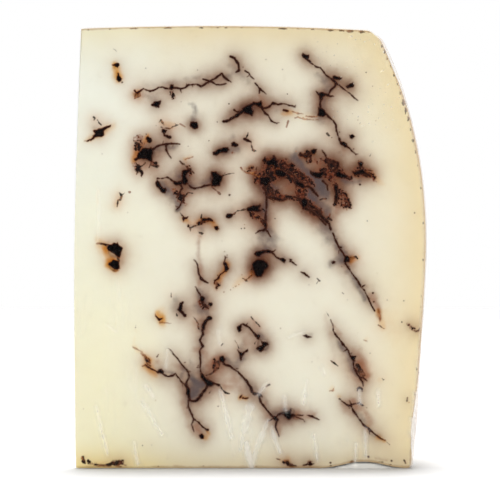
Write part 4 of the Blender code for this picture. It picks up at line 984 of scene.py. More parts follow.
# %% Ragged strokes and outlines
def wobble(along, length, chance):
    """A smooth random line from -1 to 1 with bends the given length apart."""
    knots = np.arange(0, along[-1] + 2 * length, length)
    return np.interp(along, knots, chance.uniform(-1, 1, len(knots)))


def discs_along(nodes, chance, wander=1.0, every=0.16):
    """Discs of (r, z, radius) along a stroke that wanders a little."""
    nodes = np.array(nodes, float)
    if len(nodes) == 1:
        around = nodes[0, 2] * 0.16 * np.array([[0, 0], [1, 0.3], [-0.7, 0.8], [0.2, -1]])
        sizes = nodes[0, 2] * np.array([0.42, 0.36, 0.3, 0.33])
        return np.column_stack((nodes[0, :2] + around * chance.uniform(0.6, 1.5, (4, 1)), sizes))
    steps = np.hypot(*np.diff(nodes[:, :2], axis=0).T)
    marks = np.concatenate(([0], np.cumsum(steps)))
    along = np.linspace(0, marks[-1], max(3, int(marks[-1] / every)))
    r, z, width = (np.interp(along, marks, nodes[:, i]) for i in range(3))
    ahead = np.column_stack((np.gradient(r), np.gradient(z)))
    ahead /= np.maximum(np.hypot(*ahead.T)[:, None], 1e-9)
    push = sum(
        size * wobble(along, length, chance) for length, size in ((2.6, 0.20), (1.1, 0.15), (0.45, 0.08))
    )
    push *= wander * np.minimum(1, np.minimum(along, marks[-1] - along) / 0.8 + 0.2)
    half = width / 2 * (1 + 0.38 * wobble(along, 0.8, chance) + 0.2 * wobble(along, 0.35, chance))
    return np.column_stack((r - ahead[:, 1] * push, z + ahead[:, 0] * push, np.maximum(half, 0.07)))


def twigs_of(discs, chance, share):
    """Short tapering side cracks that leave a stroke, and crumbs beside it."""
    grown = []
    for start, after in zip(discs[:-1:4], discs[1::4]):
        heading = math.atan2(after[1] - start[1], after[0] - start[0])
        if chance.random() < share:
            turn = heading + chance.choice((-1, 1)) * chance.uniform(0.5, 1.5)
            reach = chance.uniform(0.3, 1.1) + 0.5 * start[2]
            steps = np.arange(0, start[2] + reach, 0.12)
            bend = turn + wobble(np.maximum(steps, 1e-6), 0.5, chance) * 0.7
            path = np.cumsum(np.column_stack((np.cos(bend), np.sin(bend))) * 0.12, axis=0)
            size = np.linspace(min(0.2, 0.6 * start[2]), 0.05, len(steps))
            grown.append(np.column_stack((start[:2] + path, size)))
        if chance.random() < 0.4 * share:
            away = chance.normal(0, 1.0, 2) * (0.8 + start[2])
            grown.append(np.array([[*(start[:2] + away), chance.uniform(0.06, 0.18)]]))
    return grown


def all_discs(strokes, seed, wander=1.0, twigs=0.0):
    chance = np.random.default_rng(seed)
    rows = []
    for nodes in strokes:
        discs = discs_along(nodes, chance, wander)
        rows.append(discs)
        if twigs:
            rows += twigs_of(discs, chance, twigs)
    return np.vstack(rows)


def torn(outlines, seed, rough=0.11, longest=0.4):
    """The outlines with uneven chips broken out of their edges."""
    chance = np.random.default_rng(seed)
    made = []
    for outline in outlines:
        corners = [np.array(corner, float) for corner in outline]
        chips = []
        for start, end in zip(corners, corners[1:] + corners[:1]):
            far = max(np.hypot(*(end - start)), 1e-6)
            sideways = np.array([start[1] - end[1], end[0] - start[0]]) / far
            count = max(1, int(far / longest))
            for step in range(count):
                push = chance.uniform(-1, 1) * (rough if step else 0.3 * rough)
                chips.append(start + step / count * (end - start) + sideways * push)
        made.append(np.array(chips))
    return made


# %% [markdown]
# ### How near, and how shaded
#
# What follows asks two things of a place: how far is it to the edge of the nearest vein, and how deep is
# the shade there. The distance to a disc or an outline is negative inside it. A shade is a soft bell along
# its stroke.


# %% Gaps to veins
def gap_to(discs, places, reach=5.0, cell=5.0):
    """How far each place is from the edge of the nearest disc, in millimetres: below 0 inside one."""
    gap = np.full(len(places), reach)
    cells = np.floor(places / cell).astype(int)
    for key in np.unique(cells, axis=0):
        near = np.all(np.abs(discs[:, :2] - (key + 0.5) * cell) < cell / 2 + reach + discs[:, 2:], axis=1)
        if near.any():
            here = np.nonzero(np.all(cells == key, axis=1))[0]
            apart = np.hypot(
                places[here, 0, None] - discs[near, 0], places[here, 1, None] - discs[near, 1]
            )
            gap[here] = np.minimum(reach, (apart - discs[near, 2]).min(1))
    return gap


def gap_to_outline(outline, places):
    """How far each place is from a closed outline: below 0 inside it."""
    ends = np.roll(outline, -1, axis=0)
    ahead = ends - outline
    offset = places[:, None] - outline
    share = np.clip((offset * ahead).sum(2) / np.maximum((ahead**2).sum(1), 1e-9), 0, 1)
    apart = np.sqrt(((offset - share[..., None] * ahead) ** 2).sum(2)).min(1)
    level = places[:, 1, None]
    crossed = (outline[:, 1] > level) != (ends[:, 1] > level)
    climb = np.where(ahead[:, 1] == 0, 1e-9, ahead[:, 1])
    meets = outline[:, 0] + (level - outline[:, 1]) * ahead[:, 0] / climb
    inside = (crossed & (places[:, 0, None] < meets)).sum(1) % 2 == 1
    return np.where(inside, -apart, apart)


def gap_to_all(discs, outlines, places, reach=5.0):
    """How far each place is from the nearest of all these discs and outlines."""
    gap = gap_to(discs, places, reach)
    for outline in outlines:
        around = np.all((places > outline.min(0) - 2) & (places < outline.max(0) + 2), axis=1)
        if around.any():
            gap[around] = np.minimum(gap[around], gap_to_outline(outline, places[around]))
    return gap


# %% Soft shades
def shade_at(strokes, places):
    """How deep the soft shade of these strokes is at each place, from 0 to 1."""
    clear = np.ones(len(places))
    for strength, nodes in strokes:
        nodes = np.array(nodes, float)
        if len(nodes) > 1:
            marks = np.concatenate(([0], np.cumsum(np.hypot(*np.diff(nodes[:, :2], axis=0).T))))
            along = np.arange(0, marks[-1] + 0.5, 0.5)
            nodes = np.column_stack([np.interp(along, marks, nodes[:, i]) for i in range(3)])
        widest = 1.4 * nodes[:, 2].max()
        low, high = nodes[:, :2].min(0) - widest, nodes[:, :2].max(0) + widest
        here = np.nonzero(np.all((places > low) & (places < high), axis=1))[0]
        if len(here):
            apart = np.hypot(places[here, 0, None] - nodes[:, 0], places[here, 1, None] - nodes[:, 1])
            clear[here] *= 1 - strength * np.exp(-((apart / (0.6 * nodes[:, 2])) ** 2)).max(1)
    return 1 - clear


# %% Veins of the front cut face
front_veins = {
    "ink": (all_discs(CRACKS, 11, 0.6, twigs=0.05), torn(LUMPS, 16, rough=0.16, longest=0.34)),
    "brown": (all_discs(BROWN + RIND_DASHES, 12, 0.5, twigs=0.04), torn(PATCHES, 17)),
    "rust": (all_discs(ORANGE, 13, 0.6, twigs=0.05), []),
}
front_shades = {"smoke": SMOKE, "blush": BLUSH, "stain": STAIN, "rubble": RUBBLE}
print("discs:", {name: len(discs) for name, (discs, _) in front_veins.items()})

# %% [markdown]
# ### The other cut face
#
# The back of the wedge can't be seen in the photograph, but it is a cut through the same cheese, so it has
# veins of the same kind. They are the veins of the front turned upside down and moved a little, and broken
# anew by chance, which is less work than to draw them again and just as rich.


# %% Veins of the back cut face
BACK_SHIFT, BACK_FLIP = 1.5, 137.5


def turned(strokes):
    """The same strokes or outlines upside down."""
    return [[(r - BACK_SHIFT, BACK_FLIP - z, *width) for r, z, *width in nodes] for nodes in strokes]


back_veins = {
    "ink": (all_discs(turned(CRACKS), 21, 1.0, twigs=0.05), torn(turned(LUMPS), 26, rough=0.2)),
    "brown": (all_discs(turned(BROWN) + RIND_DASHES, 22, 0.8, twigs=0.04), torn(turned(PATCHES), 27)),
    "rust": (all_discs(turned(ORANGE), 23, 0.9, twigs=0.05), []),
}
back_shades = {
    name: [(strength, *turned([nodes])) for strength, nodes in strokes]
    for name, strokes in front_shades.items()
}
print("discs behind:", {name: len(discs) for name, (discs, _) in back_veins.items()})


# %% Both cut faces at once
def on_both(places, front_way, back_way, far):
    """Fills in numbers for places on the cut faces, each face by its own way, and the far value elsewhere."""
    r, z, depth, front = on_cut_faces(places)
    flat = np.column_stack((r, z))
    found = np.full(len(places), float(far))
    near = depth < 1.5
    for side, way in ((front & near, front_way), (~front & near, back_way)):
        found[side] = way(flat[side])
    return found, depth


def gaps(places, name):
    """The gap to that kind of vein, on whichever cut face each place is nearer to."""
    found, depth = on_both(
        places,
        lambda flat: gap_to_all(*front_veins[name], flat),
        lambda flat: gap_to_all(*back_veins[name], flat),
        5,
    )
    return found + np.maximum(0, depth - 0.8) * 2


# %% [markdown]
# ### What the truffle bleeds
#
# The juice of the truffle soaks a millimetre or two into the paste: darkest against a vein, and wider where
# a lot of truffle lies close together. A gap to the nearest vein can't say that, because it doesn't count
# how much there is. So a chart of the cut face marks what truffle covers and blurs it, by fast Fourier
# transforms because the blur is wide, and each vertex reads its own value there. Noise is seeded, so that a
# shade's shaken edge is the same each time.

# %% Chart of what has bled
CHART_STEP, CHART_START = 0.4, -6.0


def bled(veins, rubble, reach=1.5):
    """A chart of how much truffle lies near each place on a cut face: what it covers there, blurred."""
    across, up = np.arange(CHART_START, 118, CHART_STEP), np.arange(CHART_START, 144, CHART_STEP)
    places = np.stack(np.meshgrid(across, up, indexing="ij"), -1).reshape(-1, 2)
    covered = np.clip(0.5 - gap_to_all(*veins, places, reach=1.0) / CHART_STEP, 0, 1)
    covered = np.maximum(covered, 0.55 * shade_at(rubble, places)).reshape(len(across), len(up))
    steps = [np.minimum(np.arange(count), count - np.arange(count)) * CHART_STEP for count in covered.shape]
    fall = np.exp(-np.hypot(*np.meshgrid(*steps, indexing="ij")) / reach)
    return np.fft.irfft2(np.fft.rfft2(covered) * np.fft.rfft2(fall / fall.sum()), covered.shape)


def read_chart(chart, flat):
    """The chart's value at each place, shared out between the four nearest entries."""
    at = np.clip((flat - CHART_START) / CHART_STEP, 0, np.array(chart.shape) - 1.01)
    i, j = at.astype(int).T
    u, v = (at - at.astype(int)).T
    low = chart[i, j] * (1 - u) + chart[i + 1, j] * u
    high = chart[i, j + 1] * (1 - u) + chart[i + 1, j + 1] * u
    return low * (1 - v) + high * v


front_bled = {"ink": bled(front_veins["ink"], RUBBLE),
              "brown": bled((all_discs(BROWN, 12), torn(PATCHES, 17)), [])}
back_bled = {"ink": bled(back_veins["ink"], back_shades["rubble"]),
             "brown": bled((all_discs(turned(BROWN), 22), torn(turned(PATCHES), 27)), [])}
print("most truffle around a place:", round(float(front_bled["ink"].max()), 2))

# %% What the vertices read there
noise.seed_set(7)


def soaked_in(places, kind):
    """How much of that kind of vein lies round each place, on whichever cut face it is nearer to."""
    found, depth = on_both(
        places,
        lambda flat: read_chart(front_bled[kind], flat),
        lambda flat: read_chart(back_bled[kind], flat),
        0,
    )
    return found * np.clip(2 - depth, 0, 1)


def shades(places, name):
    """How deep that shade is at each place, its edges shaken so that they don't look drawn."""
    shakes = [
        1.1 * noise.noise_vector(Vector(p) / 4.5) + 0.5 * noise.noise_vector(Vector(p) / 1.7) for p in places
    ]
    shaken = places + np.array(shakes) * (1, 0, 1)
    found, depth = on_both(
        shaken,
        lambda flat: shade_at(front_shades[name], flat),
        lambda flat: shade_at(back_shades[name], flat),
        0,
    )
    return found * np.clip(2 - depth, 0, 1)


# %% [markdown]
# ### Finer squares along the veins
#
# A square of a millimetre can't hold a crack half as wide. The squares near a vein are cut in four, and
# those that it touches once more, so that the mesh is fine only where something happens.


# %% Cut the mesh finer
NEVER = -9.0


def cut_finer(piece, wanted):
    only(piece)
    select_faces(piece, wanted)
    bpy.ops.object.mode_set(mode="EDIT")
    bpy.ops.mesh.subdivide(number_cuts=1)
    bpy.ops.object.mode_set(mode="OBJECT")


for reach, back_reach in ((1.25, 0.5), (0.52, NEVER)):
    middles = face_middles(cheese)
    _, _, depth, front = on_cut_faces(middles)
    near = np.minimum.reduce([gaps(middles, name) for name in ("ink", "brown", "rust")])
    cut_finer(cheese, (near < np.where(front, reach, back_reach)) & (depth < CHEESE_INSET + 0.01))
    print("cut finer:", len(cheese.data.polygons), "faces")

# %% [markdown]
# ### Relief
#
# The knife and the film leave the cut face almost flat, but truffle tears out of it: the cracks are
# grooves, and the thick lumps sit in pockets a millimetre deep, here as r, z and size. The rind is uneven,
# as a wheel is that ripened on a shelf, but it swells less than the film's distance, so that it never shows
# outside the film. All of it is done by moving vertices along the way into the cheese.

# %% Move the vertices
POCKETS = [
    (58.1, 61.7, 2.3), (13.8, 66.9, 2.2), (13.4, 62.2, 1.5), (23.5, 96.8, 2.4), (44.9, 89.2, 1.9),
    (59.3, 38.0, 1.9), (67.2, 16.9, 1.7),
]
POCKET_DEPTH, GROOVE_DEPTH, SUCKED_IN = 1.1, 0.42, 0.09
places = corners_of(cheese)
r, z, depth, front = on_cut_faces(places)
ink_gap = gaps(places, "ink")
groove = GROOVE_DEPTH * np.clip((0.15 - ink_gap) / 0.45, 0, 1)
pocket_r, pocket_z, pocket_size = np.array(POCKETS).T
from_r = np.where(front, r, r + BACK_SHIFT)[:, None] - pocket_r
from_z = np.where(front, z, BACK_FLIP - z)[:, None] - pocket_z
lumps = np.hypot(from_r, from_z) / pocket_size
pocket = POCKET_DEPTH * np.sqrt(np.clip(1 - lumps.min(1) ** 2, 0, 1))
on_face = np.clip(1.3 - depth, 0, 1)
inward = (np.maximum(groove, pocket) + SUCKED_IN * (1 + spread(places))) * on_face
into_front, into_back = np.array([0, 1, 0]), np.array([math.sin(WEDGE_ANGLE), -math.cos(WEDGE_ANGLE), 0])
places += inward[:, None] * np.where(front[:, None], into_front, into_back)
print("deepest on the cut faces, mm:", round(float(inward.max()), 2))

# %% Uneven rind
from_axis = places[:, :2] - (AXIS_X, AXIS_Y)
radius = np.hypot(*from_axis.T)
on_rind = np.clip((depth - 0.4) / 1.5, 0, 1)
rind_dents = np.array(
    [0.16 * noise.noise(Vector(p) / 5.0) + 0.1 * noise.noise(Vector(p) / 2.2) for p in places]
)
MOST_SWELL = 0.16
swell = np.minimum(0.3 * spread(places) + rind_dents, MOST_SWELL) * on_rind
to_side = np.clip(1 - (side_radius(z) - radius - 0.4) / 2, 0, 1) * np.clip((z - 3) / 4, 0, 1)
places[:, :2] += from_axis / np.maximum(radius, 1)[:, None] * (swell * to_side)[:, None]
places[:, 2] += swell * np.clip(1 - (top_height(radius) - z - 0.4) / 1.5, 0, 1)
drawn_back = 0.9 * np.exp(-(((z - 12) / 9) ** 2)) + 0.3 * np.exp(-(((z - 124) / 8) ** 2))
places[:, :2] -= from_axis / np.maximum(radius, 1)[:, None] * (drawn_back * to_side)[:, None]
move_corners(cheese, places)
print("rind moved by, mm:", round(float(swell.min()), 2), "to", round(float(swell.max()), 2))

# %% [markdown]
# ### What the paint needs to know
#
# The finish is painted by nodes, which can't see strokes. So each vertex keeps, as named numbers on the
# mesh, its gap to every kind of vein, how deep each shade is, how much truffle has bled there, how near it
# is to the ripened zone under the rind, and how near to the rind itself. Skin is 0 on the cut faces and 1
# on the rind.


# %% Attributes
def keep(piece, name, values):
    layer = piece.data.attributes.new(name, "FLOAT", "POINT")
    layer.data.foreach_set("value", np.asarray(values, np.float32))


below_top, above_foot = top_height(r) - z, z - underside_height(r)
inside_side = np.where(depth < 2, side_radius(z) - r, side_radius(z) - radius)
for name in ("ink", "brown", "rust"):
    keep(cheese, name, ink_gap if name == "ink" else gaps(places, name))
for name in ("smoke", "blush", "stain", "rubble"):
    keep(cheese, name, shades(places, name))
keep(cheese, "bleed", soaked_in(places, "ink"))
keep(cheese, "seep", soaked_in(places, "brown"))
keep(cheese, "rind_near", np.clip(np.minimum(np.minimum(below_top, above_foot), inside_side) - 0.3, 0, 30))
keep(cheese, "ripe_side", np.exp(-np.clip(inside_side, 0, 99) / 17))
keep(cheese, "ripe_deck", np.exp(-np.clip(below_top, 0, 99) / 9))
keep(cheese, "ripe_foot", np.exp(-np.clip(above_foot, 0, 99) / 7))
keep(cheese, "skin", np.clip((depth - 0.75) / 0.6, 0, 1))
only(cheese)
bpy.ops.object.shade_smooth_by_angle(angle=math.radians(40))
triangles = sum(len(face.vertices) - 2 for face in cheese.data.polygons)
print("cheese:", len(cheese.data.polygons), "faces,", triangles, "triangles")

# %% [markdown]
# ## Shader maths as plain sums
#
# A finish is a net of nodes. Wrapping a node's output in a small class lets 1 - mask or gap + grain be
# written as sums, and each sum adds its own Math node. Every other node comes from one method, add.


# %% Wrapped sockets and finishes
class Wire:
    """One output of a shader node."""

    def __init__(self, finish, socket):
        self.finish, self.socket = finish, socket

    def sum_with(self, operation, first, second):
        return self.finish.add("ShaderNodeMath", {"operation": operation}, {0: first, 1: second})

    def __add__(self, other):
        return self.sum_with("ADD", self, other)

    def __radd__(self, other):
        return self.sum_with("ADD", other, self)

    def __sub__(self, other):
        return self.sum_with("SUBTRACT", self, other)

    def __rsub__(self, other):
        return self.sum_with("SUBTRACT", other, self)

    def __mul__(self, other):
        return self.sum_with("MULTIPLY", self, other)

    def __rmul__(self, other):
        return self.sum_with("MULTIPLY", other, self)

class Finish:
    """A material on the way, with the words that its recipe is written in."""

    def __init__(self, name):
        self.material = bpy.data.materials.new(name)
        self.material.use_nodes = True
        self.tree = self.material.node_tree
        self.shader = self.tree.nodes["Principled BSDF"]
        self.place = self.add("ShaderNodeTexCoord", out="Object")

    def feed(self, socket, value):
        if isinstance(value, Wire):
            self.tree.links.new(value.socket, socket)
        else:
            socket.default_value = value

    def add(self, kind, settings=None, values=None, out=0):
        node = self.tree.nodes.new(kind)
        for name, setting in (settings or {}).items():
            setattr(node, name, setting)
        for key, value in (values or {}).items():
            self.feed(node.inputs[key], value)
        return Wire(self, node.outputs[out])

    def number(self, name):
        """A number that the mesh keeps at each vertex."""
        return self.add("ShaderNodeAttribute", {"attribute_name": name}, out="Fac")

    def grain(self, size, detail=2.0, centre=True, stretch=None):
        """Noise with lumps of that many millimetres: from -1 to 1, or from 0 to 1."""
        place = self.place
        if stretch:
            place = self.add("ShaderNodeMapping", values={"Vector": place, "Scale": stretch})
        noise_out = self.add(
            "ShaderNodeTexNoise", values={"Vector": place, "Scale": 1000 / size, "Detail": detail}, out="Fac"
        )
        return (noise_out - 0.5) * 2.0 if centre else noise_out

    def ease(self, value, low, high, start=0.0, end=1.0):
        """Goes softly from start to end as the value goes from low to high."""
        return self.add(
            "ShaderNodeMapRange",
            {"interpolation_type": "SMOOTHSTEP"},
            {"Value": value, "From Min": low, "From Max": high, "To Min": start, "To Max": end},
        )

    def blend(self, share, under, over, how="MIX"):
        return self.add(
            "ShaderNodeMix", {"data_type": "RGBA", "blend_type": how}, {0: share, 6: under, 7: over}, out=2
        )

    def bump(self, height, strength, distance):
        return self.add(
            "ShaderNodeBump", values={"Height": height, "Strength": strength, "Distance": distance * MM}
        )


def hue(red, green, blue):
    """A colour as a screen shows it, from 0 to 255, turned to the light that it stands for."""
    def light(part):
        part /= 255
        return part / 12.92 if part <= 0.04045 else ((part + 0.055) / 1.055) ** 2.4
    return (light(red), light(green), light(blue), 1.0)


# %% [markdown]
# ## The cheese's finish
#
# The paste is greyish ivory in the middle, paler towards the point, and straw yellow where it ripened under
# the rind. The paler point is partly painted light: its colour also stands in for the light that shines
# through the thin cheese there. One flat colour would look like wax, so three tones are laid over each
# other, each by its own kept number with a little grain added, which keeps their borders from looking drawn.

# %% The paste
paste = Finish("cheese_paste")
ink, brown, rust = (paste.number(name) for name in ("ink", "brown", "rust"))
smoke, blush, stain, rubble = (paste.number(name) for name in ("smoke", "blush", "stain", "rubble"))
bleed, seep = paste.number("bleed"), paste.number("seep")
skin, rind_near, ripe_side = (paste.number(name) for name in ("skin", "rind_near", "ripe_side"))
ripe_deck, ripe_foot = paste.number("ripe_deck"), paste.number("ripe_foot")

clouds = paste.grain(17, 2.0)
mottle = paste.grain(4.5, 3.0)
fine = paste.grain(0.8, 3.0)
middle = paste.grain(1.9, 3.0)
across = paste.add("ShaderNodeSeparateXYZ", values={0: paste.place}, out="X") * 1000.0
# Paler towards the point: partly the paste's own tone, partly painted light shining through the thin cheese
# there.
to_point = paste.ease(across + clouds * 9.0, -52.0, -12.0, 1.0, 0.0)
upward = paste.add("ShaderNodeSeparateXYZ", values={0: paste.place}, out="Z") * 1000.0
going_up = paste.ease(upward + clouds * 12.0, 8.0, 120.0)
point_tone_and_glow = paste.blend(going_up, hue(236, 231, 199), hue(234, 235, 222))
colour = paste.blend(to_point, hue(231, 227, 209), point_tone_and_glow)
colour = paste.blend(paste.ease(ripe_side + clouds * 0.1, 0.1, 1.0, 0.0, 0.95), colour, hue(231, 214, 172))
deck_tone = paste.blend(to_point, hue(224, 207, 166), hue(230, 222, 190))
colour = paste.blend(paste.ease(ripe_deck + clouds * 0.1, 0.06, 1.0, 0.0, 0.85), colour, deck_tone)
foot_tone = paste.blend(to_point, hue(222, 207, 172), hue(247, 226, 154))
colour = paste.blend(paste.ease(ripe_foot + clouds * 0.1, 0.08, 1.0, 0.0, 0.85), colour, foot_tone)
cloudy = paste.blend(1.0, colour, hue(248, 247, 245), "MULTIPLY")
colour = paste.blend(0.5 + clouds * 0.3 + mottle * 0.35, colour, cloudy)
print("paste nodes so far:", len(paste.tree.nodes))

# %% [markdown]
# The juice of the truffle colours the paste as ink colours paper: each further drop takes away the same
# share of the light. So its tint is multiplied in, by one minus an exponential of what has bled there.
# Three thin coats of it reach the dark brown beside a lump that one coat can't. The smoke and the blush are
# mixed in, and the orange stains, strongest against the truffle, are multiplied in again, because mixing
# would turn them pale peach.

# %% Shades in the paste
def soaked(amount):
    """Goes from 0 towards 1 as more colour soaks in."""
    return 1.0 - paste.add("ShaderNodeMath", {"operation": "EXPONENT"}, {0: amount * -1.0})


patchy = 1.0 + mottle * 0.35 + middle * 0.2
warm = paste.ease(stain - rubble * 0.5 + to_point * 0.5 + mottle * 0.1, 0.0, 0.8)
bleed_tone = paste.blend(warm, hue(151, 89, 30), hue(192, 122, 24))
bleeding = soaked(bleed * patchy * 3.5) * (1.0 - to_point * 0.7)
for _ in range(3):
    colour = paste.blend(bleeding, colour, bleed_tone, "MULTIPLY")
colour = paste.blend(soaked(seep * patchy * 4.4), colour, hue(198, 116, 10), "MULTIPLY")
smoky = paste.ease(smoke + mottle * 0.35 + middle * 0.2, 0.10, 0.95, 0.0, 0.9)
colour = paste.blend(smoky, colour, hue(84, 74, 75))
blushing = paste.ease(blush + mottle * 0.2 + middle * 0.1, 0.1, 0.9, 0.0, 0.9)
colour = paste.blend(blushing, colour, hue(142, 92, 66))
beside = paste.ease(ink + middle * 0.5, 0.0, 2.2, 1.0, 0.25)
stained = paste.ease(stain + mottle * 0.12 + middle * 0.15, 0.0, 1.0) * beside
for _ in range(2):
    colour = paste.blend(stained, colour, hue(238, 186, 52), "MULTIPLY")

# %% [markdown]
# Rubble is broken paste, amber with a little truffle in it, and gritty red-brown and black with more. Grit
# that is finer than the strokes is added to the kept number before it is compared.

# %% Rubble
grit = fine * 0.6 + middle * 0.4
speckle = paste.ease(paste.grain(0.7, 2.0) * 0.5 + middle, -0.42, 0.02)
lumpy = paste.ease(paste.grain(0.9, 2.0) * 0.6 + middle * 0.6, -0.28, 0.06)
crumbly = paste.ease(rubble, 0.06, 0.22)
amber = paste.ease(rubble * 0.9 + grit, 0.08, 0.34) * crumbly
colour = paste.blend(amber * 0.6, colour, hue(128, 76, 54))
gravel = paste.ease(rubble * 0.75 + grit, 0.26, 0.42) * crumbly
gravel_tone = paste.blend(lumpy, hue(104, 50, 30), hue(15, 6, 6))
gravel_tone = paste.blend(paste.ease(paste.grain(0.9, 2.0), 0.34, 0.5), gravel_tone, hue(164, 104, 70))
colour = paste.blend(gravel * 0.96, colour, gravel_tone)
print("paste nodes so far:", len(paste.tree.nodes))

# %% [markdown]
# Then comes the truffle itself. Dried juice is orange brown, a patch with little truffle is lumpy brown,
# and a vein is dark brown where it is thin and black where it is thick. Its rim is orange brown where juice
# has stained the paste and dark brown elsewhere. Grain is added to each gap before it is compared, which
# frays the edges.

# %% Juice and truffle
rusty = paste.ease(rust + fine * 0.26, -0.14, 0.22, 1.0, 0.0)
rust_tone = paste.blend(speckle, hue(176, 106, 40), hue(120, 62, 24))
colour = paste.blend(rusty * (0.7 + middle * 0.4), colour, rust_tone)
browned = paste.ease(brown + fine * 0.22, -0.14, 0.14, 1.0, 0.0)
brown_tone = paste.blend(lumpy, paste.blend(warm, hue(116, 66, 44), hue(136, 80, 36)), hue(22, 10, 8))
colour = paste.blend(browned * (0.86 + middle * 0.3), colour, brown_tone)
rim = paste.ease(ink + fine * 0.18 + middle * 0.12, -0.06, 0.32, 1.0, 0.0)
rim_tone = paste.blend(paste.ease(stain + to_point * 0.3, 0.04, 0.4), hue(84, 44, 28), hue(132, 68, 20))
colour = paste.blend(rim * 0.72, colour, rim_tone)
black = paste.ease(ink + fine * 0.10, -0.08, 0.07, 1.0, 0.0)
thick = paste.ease(ink + middle * 0.10, -0.44, -0.12, 1.0, 0.0)
ink_tone = paste.blend(thick, hue(56, 27, 18), hue(9, 4, 4))
ink_tone = paste.blend(paste.ease(paste.grain(1.1, 3.0, centre=False), 0.58, 0.76), ink_tone, hue(40, 20, 14))
colour = paste.blend(black, colour, ink_tone)

# %% [markdown]
# Small flecks lie all over the paste, some grey, some straw brown: a few of the cells of a Voronoi pattern,
# picked by a noise. The rind is straw, worn paler and darker, with dark brown spots, and its edge draws a
# broken brown line round the cut faces.

# %% Flecks
cells = paste.add(
    "ShaderNodeTexVoronoi",
    {"feature": "F1"},
    {"Vector": paste.place, "Scale": 240.0, "Randomness": 1.0},
    out="Distance",
)
chosen = paste.ease(paste.grain(3.1, 1.0, centre=False), 0.58, 0.66)
fleck = paste.ease(cells + fine * 0.05, 0.03, 0.10, 1.0, 0.0) * chosen
fleck_tone = paste.blend(paste.ease(clouds, -0.2, 0.2), hue(140, 124, 96), hue(160, 122, 62))
colour = paste.blend(fleck * 0.5, colour, fleck_tone)

# %% Rind
worn = paste.ease(paste.grain(7, 4.0), -0.35, 0.4)
straw = paste.blend(worn, hue(216, 194, 148), hue(190, 160, 112))
straw = paste.blend(paste.ease(paste.grain(2.2, 3.0), 0.1, 0.6) * 0.5, straw, hue(140, 108, 70))
colour = paste.blend(skin, colour, straw)
edge_grain = paste.grain(1.5, 4.0)
edge_patch = paste.grain(9, 2.0)
edge_line = paste.ease(rind_near + edge_grain * 0.35 - edge_patch * 0.5, 0.1, 0.8, 1.0, 0.0)
colour = paste.blend(edge_line * (1.0 - skin) * 0.5, colour, hue(158, 116, 70))
spots = paste.ease(paste.grain(2.4, 3.0) + edge_patch * 0.35 - rind_near * 0.30, 0.28, 0.46)
colour = paste.blend(spots * skin * paste.ease(rind_near, 0.6, 1.6, 1.0, 0.0) * 0.92, colour, hue(52, 30, 20))
paste.feed(paste.shader.inputs["Base Color"], colour)
print("paste nodes in all:", len(paste.tree.nodes))

# %% [markdown]
# Cheese is a little translucent and hardly glossy under its film, so it has a weak subsurface and a low
# specular level. A fine bump gives the paste its cut grain, and the rind a coarser one.

# %% Gloss and relief of the cheese
roughness = 0.5 + mottle * 0.06 + black * 0.1 + skin * 0.1
paste.feed(paste.shader.inputs["Roughness"], roughness)
height = fine * 0.3 + mottle * 0.4 - black * 0.4 + skin * paste.grain(1.2, 3.0) * 1.2
paste.feed(paste.shader.inputs["Normal"], paste.bump(height, 0.35, 0.12))
paste.shader.inputs["Specular IOR Level"].default_value = 0.06
paste.shader.inputs["Subsurface Weight"].default_value = 0.10
paste.shader.inputs["Subsurface Radius"].default_value = (1.0, 0.7, 0.45)
paste.shader.inputs["Subsurface Scale"].default_value = 0.7 * MM
cheese.data.materials.clear()
cheese.data.materials.append(paste.material)
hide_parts("cheese_wedge")
print("finished:", cheese.name, "with", paste.material.name)

# %% [markdown]
# ## Crumbs of truffle
#
# In the pockets and lumps the truffle is chopped crumbs, with faces that catch a little light. Places for
# them are drawn by seeded chance inside each lump's outline, where there is room. One crumb is an icosphere
# pressed and torn out of round, and each copy gets its own mesh, size and turn. They lie half sunk.

# %% Room for crumbs
chance = np.random.default_rng(31)
spots_at = []
for veins, front in ((front_veins, True), (back_veins, False)):
    discs, outlines = veins["ink"]
    for outline in outlines:
        low, high = outline.min(0), outline.max(0)
        tries = chance.uniform(low, high, (24, 2))
        deep_in = -gap_to_all(discs, [outline], tries)
        for (r_at, z_at), room in zip(tries, deep_in):
            apart = [np.hypot(r_at - spot[0], z_at - spot[1]) for spot in spots_at[-6:] if spot[3] == front]
            if room > 0.38 and min(apart, default=9) > 0.6:
                spots_at.append((r_at, z_at, min(room, 1.0), front))
print("room for", len(spots_at), "crumbs")

# %% Model the crumbs
bpy.ops.object.select_all(action="DESELECT")
bpy.ops.mesh.primitive_ico_sphere_add(subdivisions=2, radius=MM)
crumb = bpy.context.object
crumb.name = crumb.data.name = "truffle_crumbs"
copies = []
for r_at, z_at, size, front in spots_at:
    one = crumb.copy()
    one.data = crumb.data.copy()
    bpy.context.scene.collection.objects.link(one)
    shape = corners_of(one)
    bumps = np.array([noise.noise(Vector(p) * 1.4 + Vector((r_at, z_at, 0))) for p in shape])
    shape *= (1 + 0.55 * bumps)[:, None]
    spin = Vector(chance.uniform(-3, 3, 3)).to_track_quat("Z", "Y").to_matrix()
    shape = shape @ np.array(spin).T * size * chance.uniform(0.5, 0.85)
    shape[:, 1] *= 0.7
    drift = chance.normal(0, 0.08 * size, 2)
    across_face, high, deep = r_at + drift[0] + shape[:, 0], z_at + drift[1] + shape[:, 2], shape[:, 1]
    deep = np.maximum(deep + 0.35 * size + CHEESE_INSET, CHEESE_INSET + 0.06)
    angle = 0 if front else WEDGE_ANGLE
    side = 1 if front else -1
    x = AXIS_X + across_face * math.cos(angle) - side * deep * math.sin(angle)
    y = AXIS_Y + across_face * math.sin(angle) + side * deep * math.cos(angle)
    move_corners(one, np.column_stack((x, y, high)))
    copies.append(one)
bpy.data.objects.remove(crumb)
bpy.ops.object.select_all(action="DESELECT")
for one in copies:
    one.select_set(True)
crumbs = copies[0]
bpy.context.view_layer.objects.active = crumbs
bpy.ops.object.join()
crumbs.name = crumbs.data.name = "truffle_crumbs"
only(crumbs)
bpy.ops.object.mode_set(mode="EDIT")
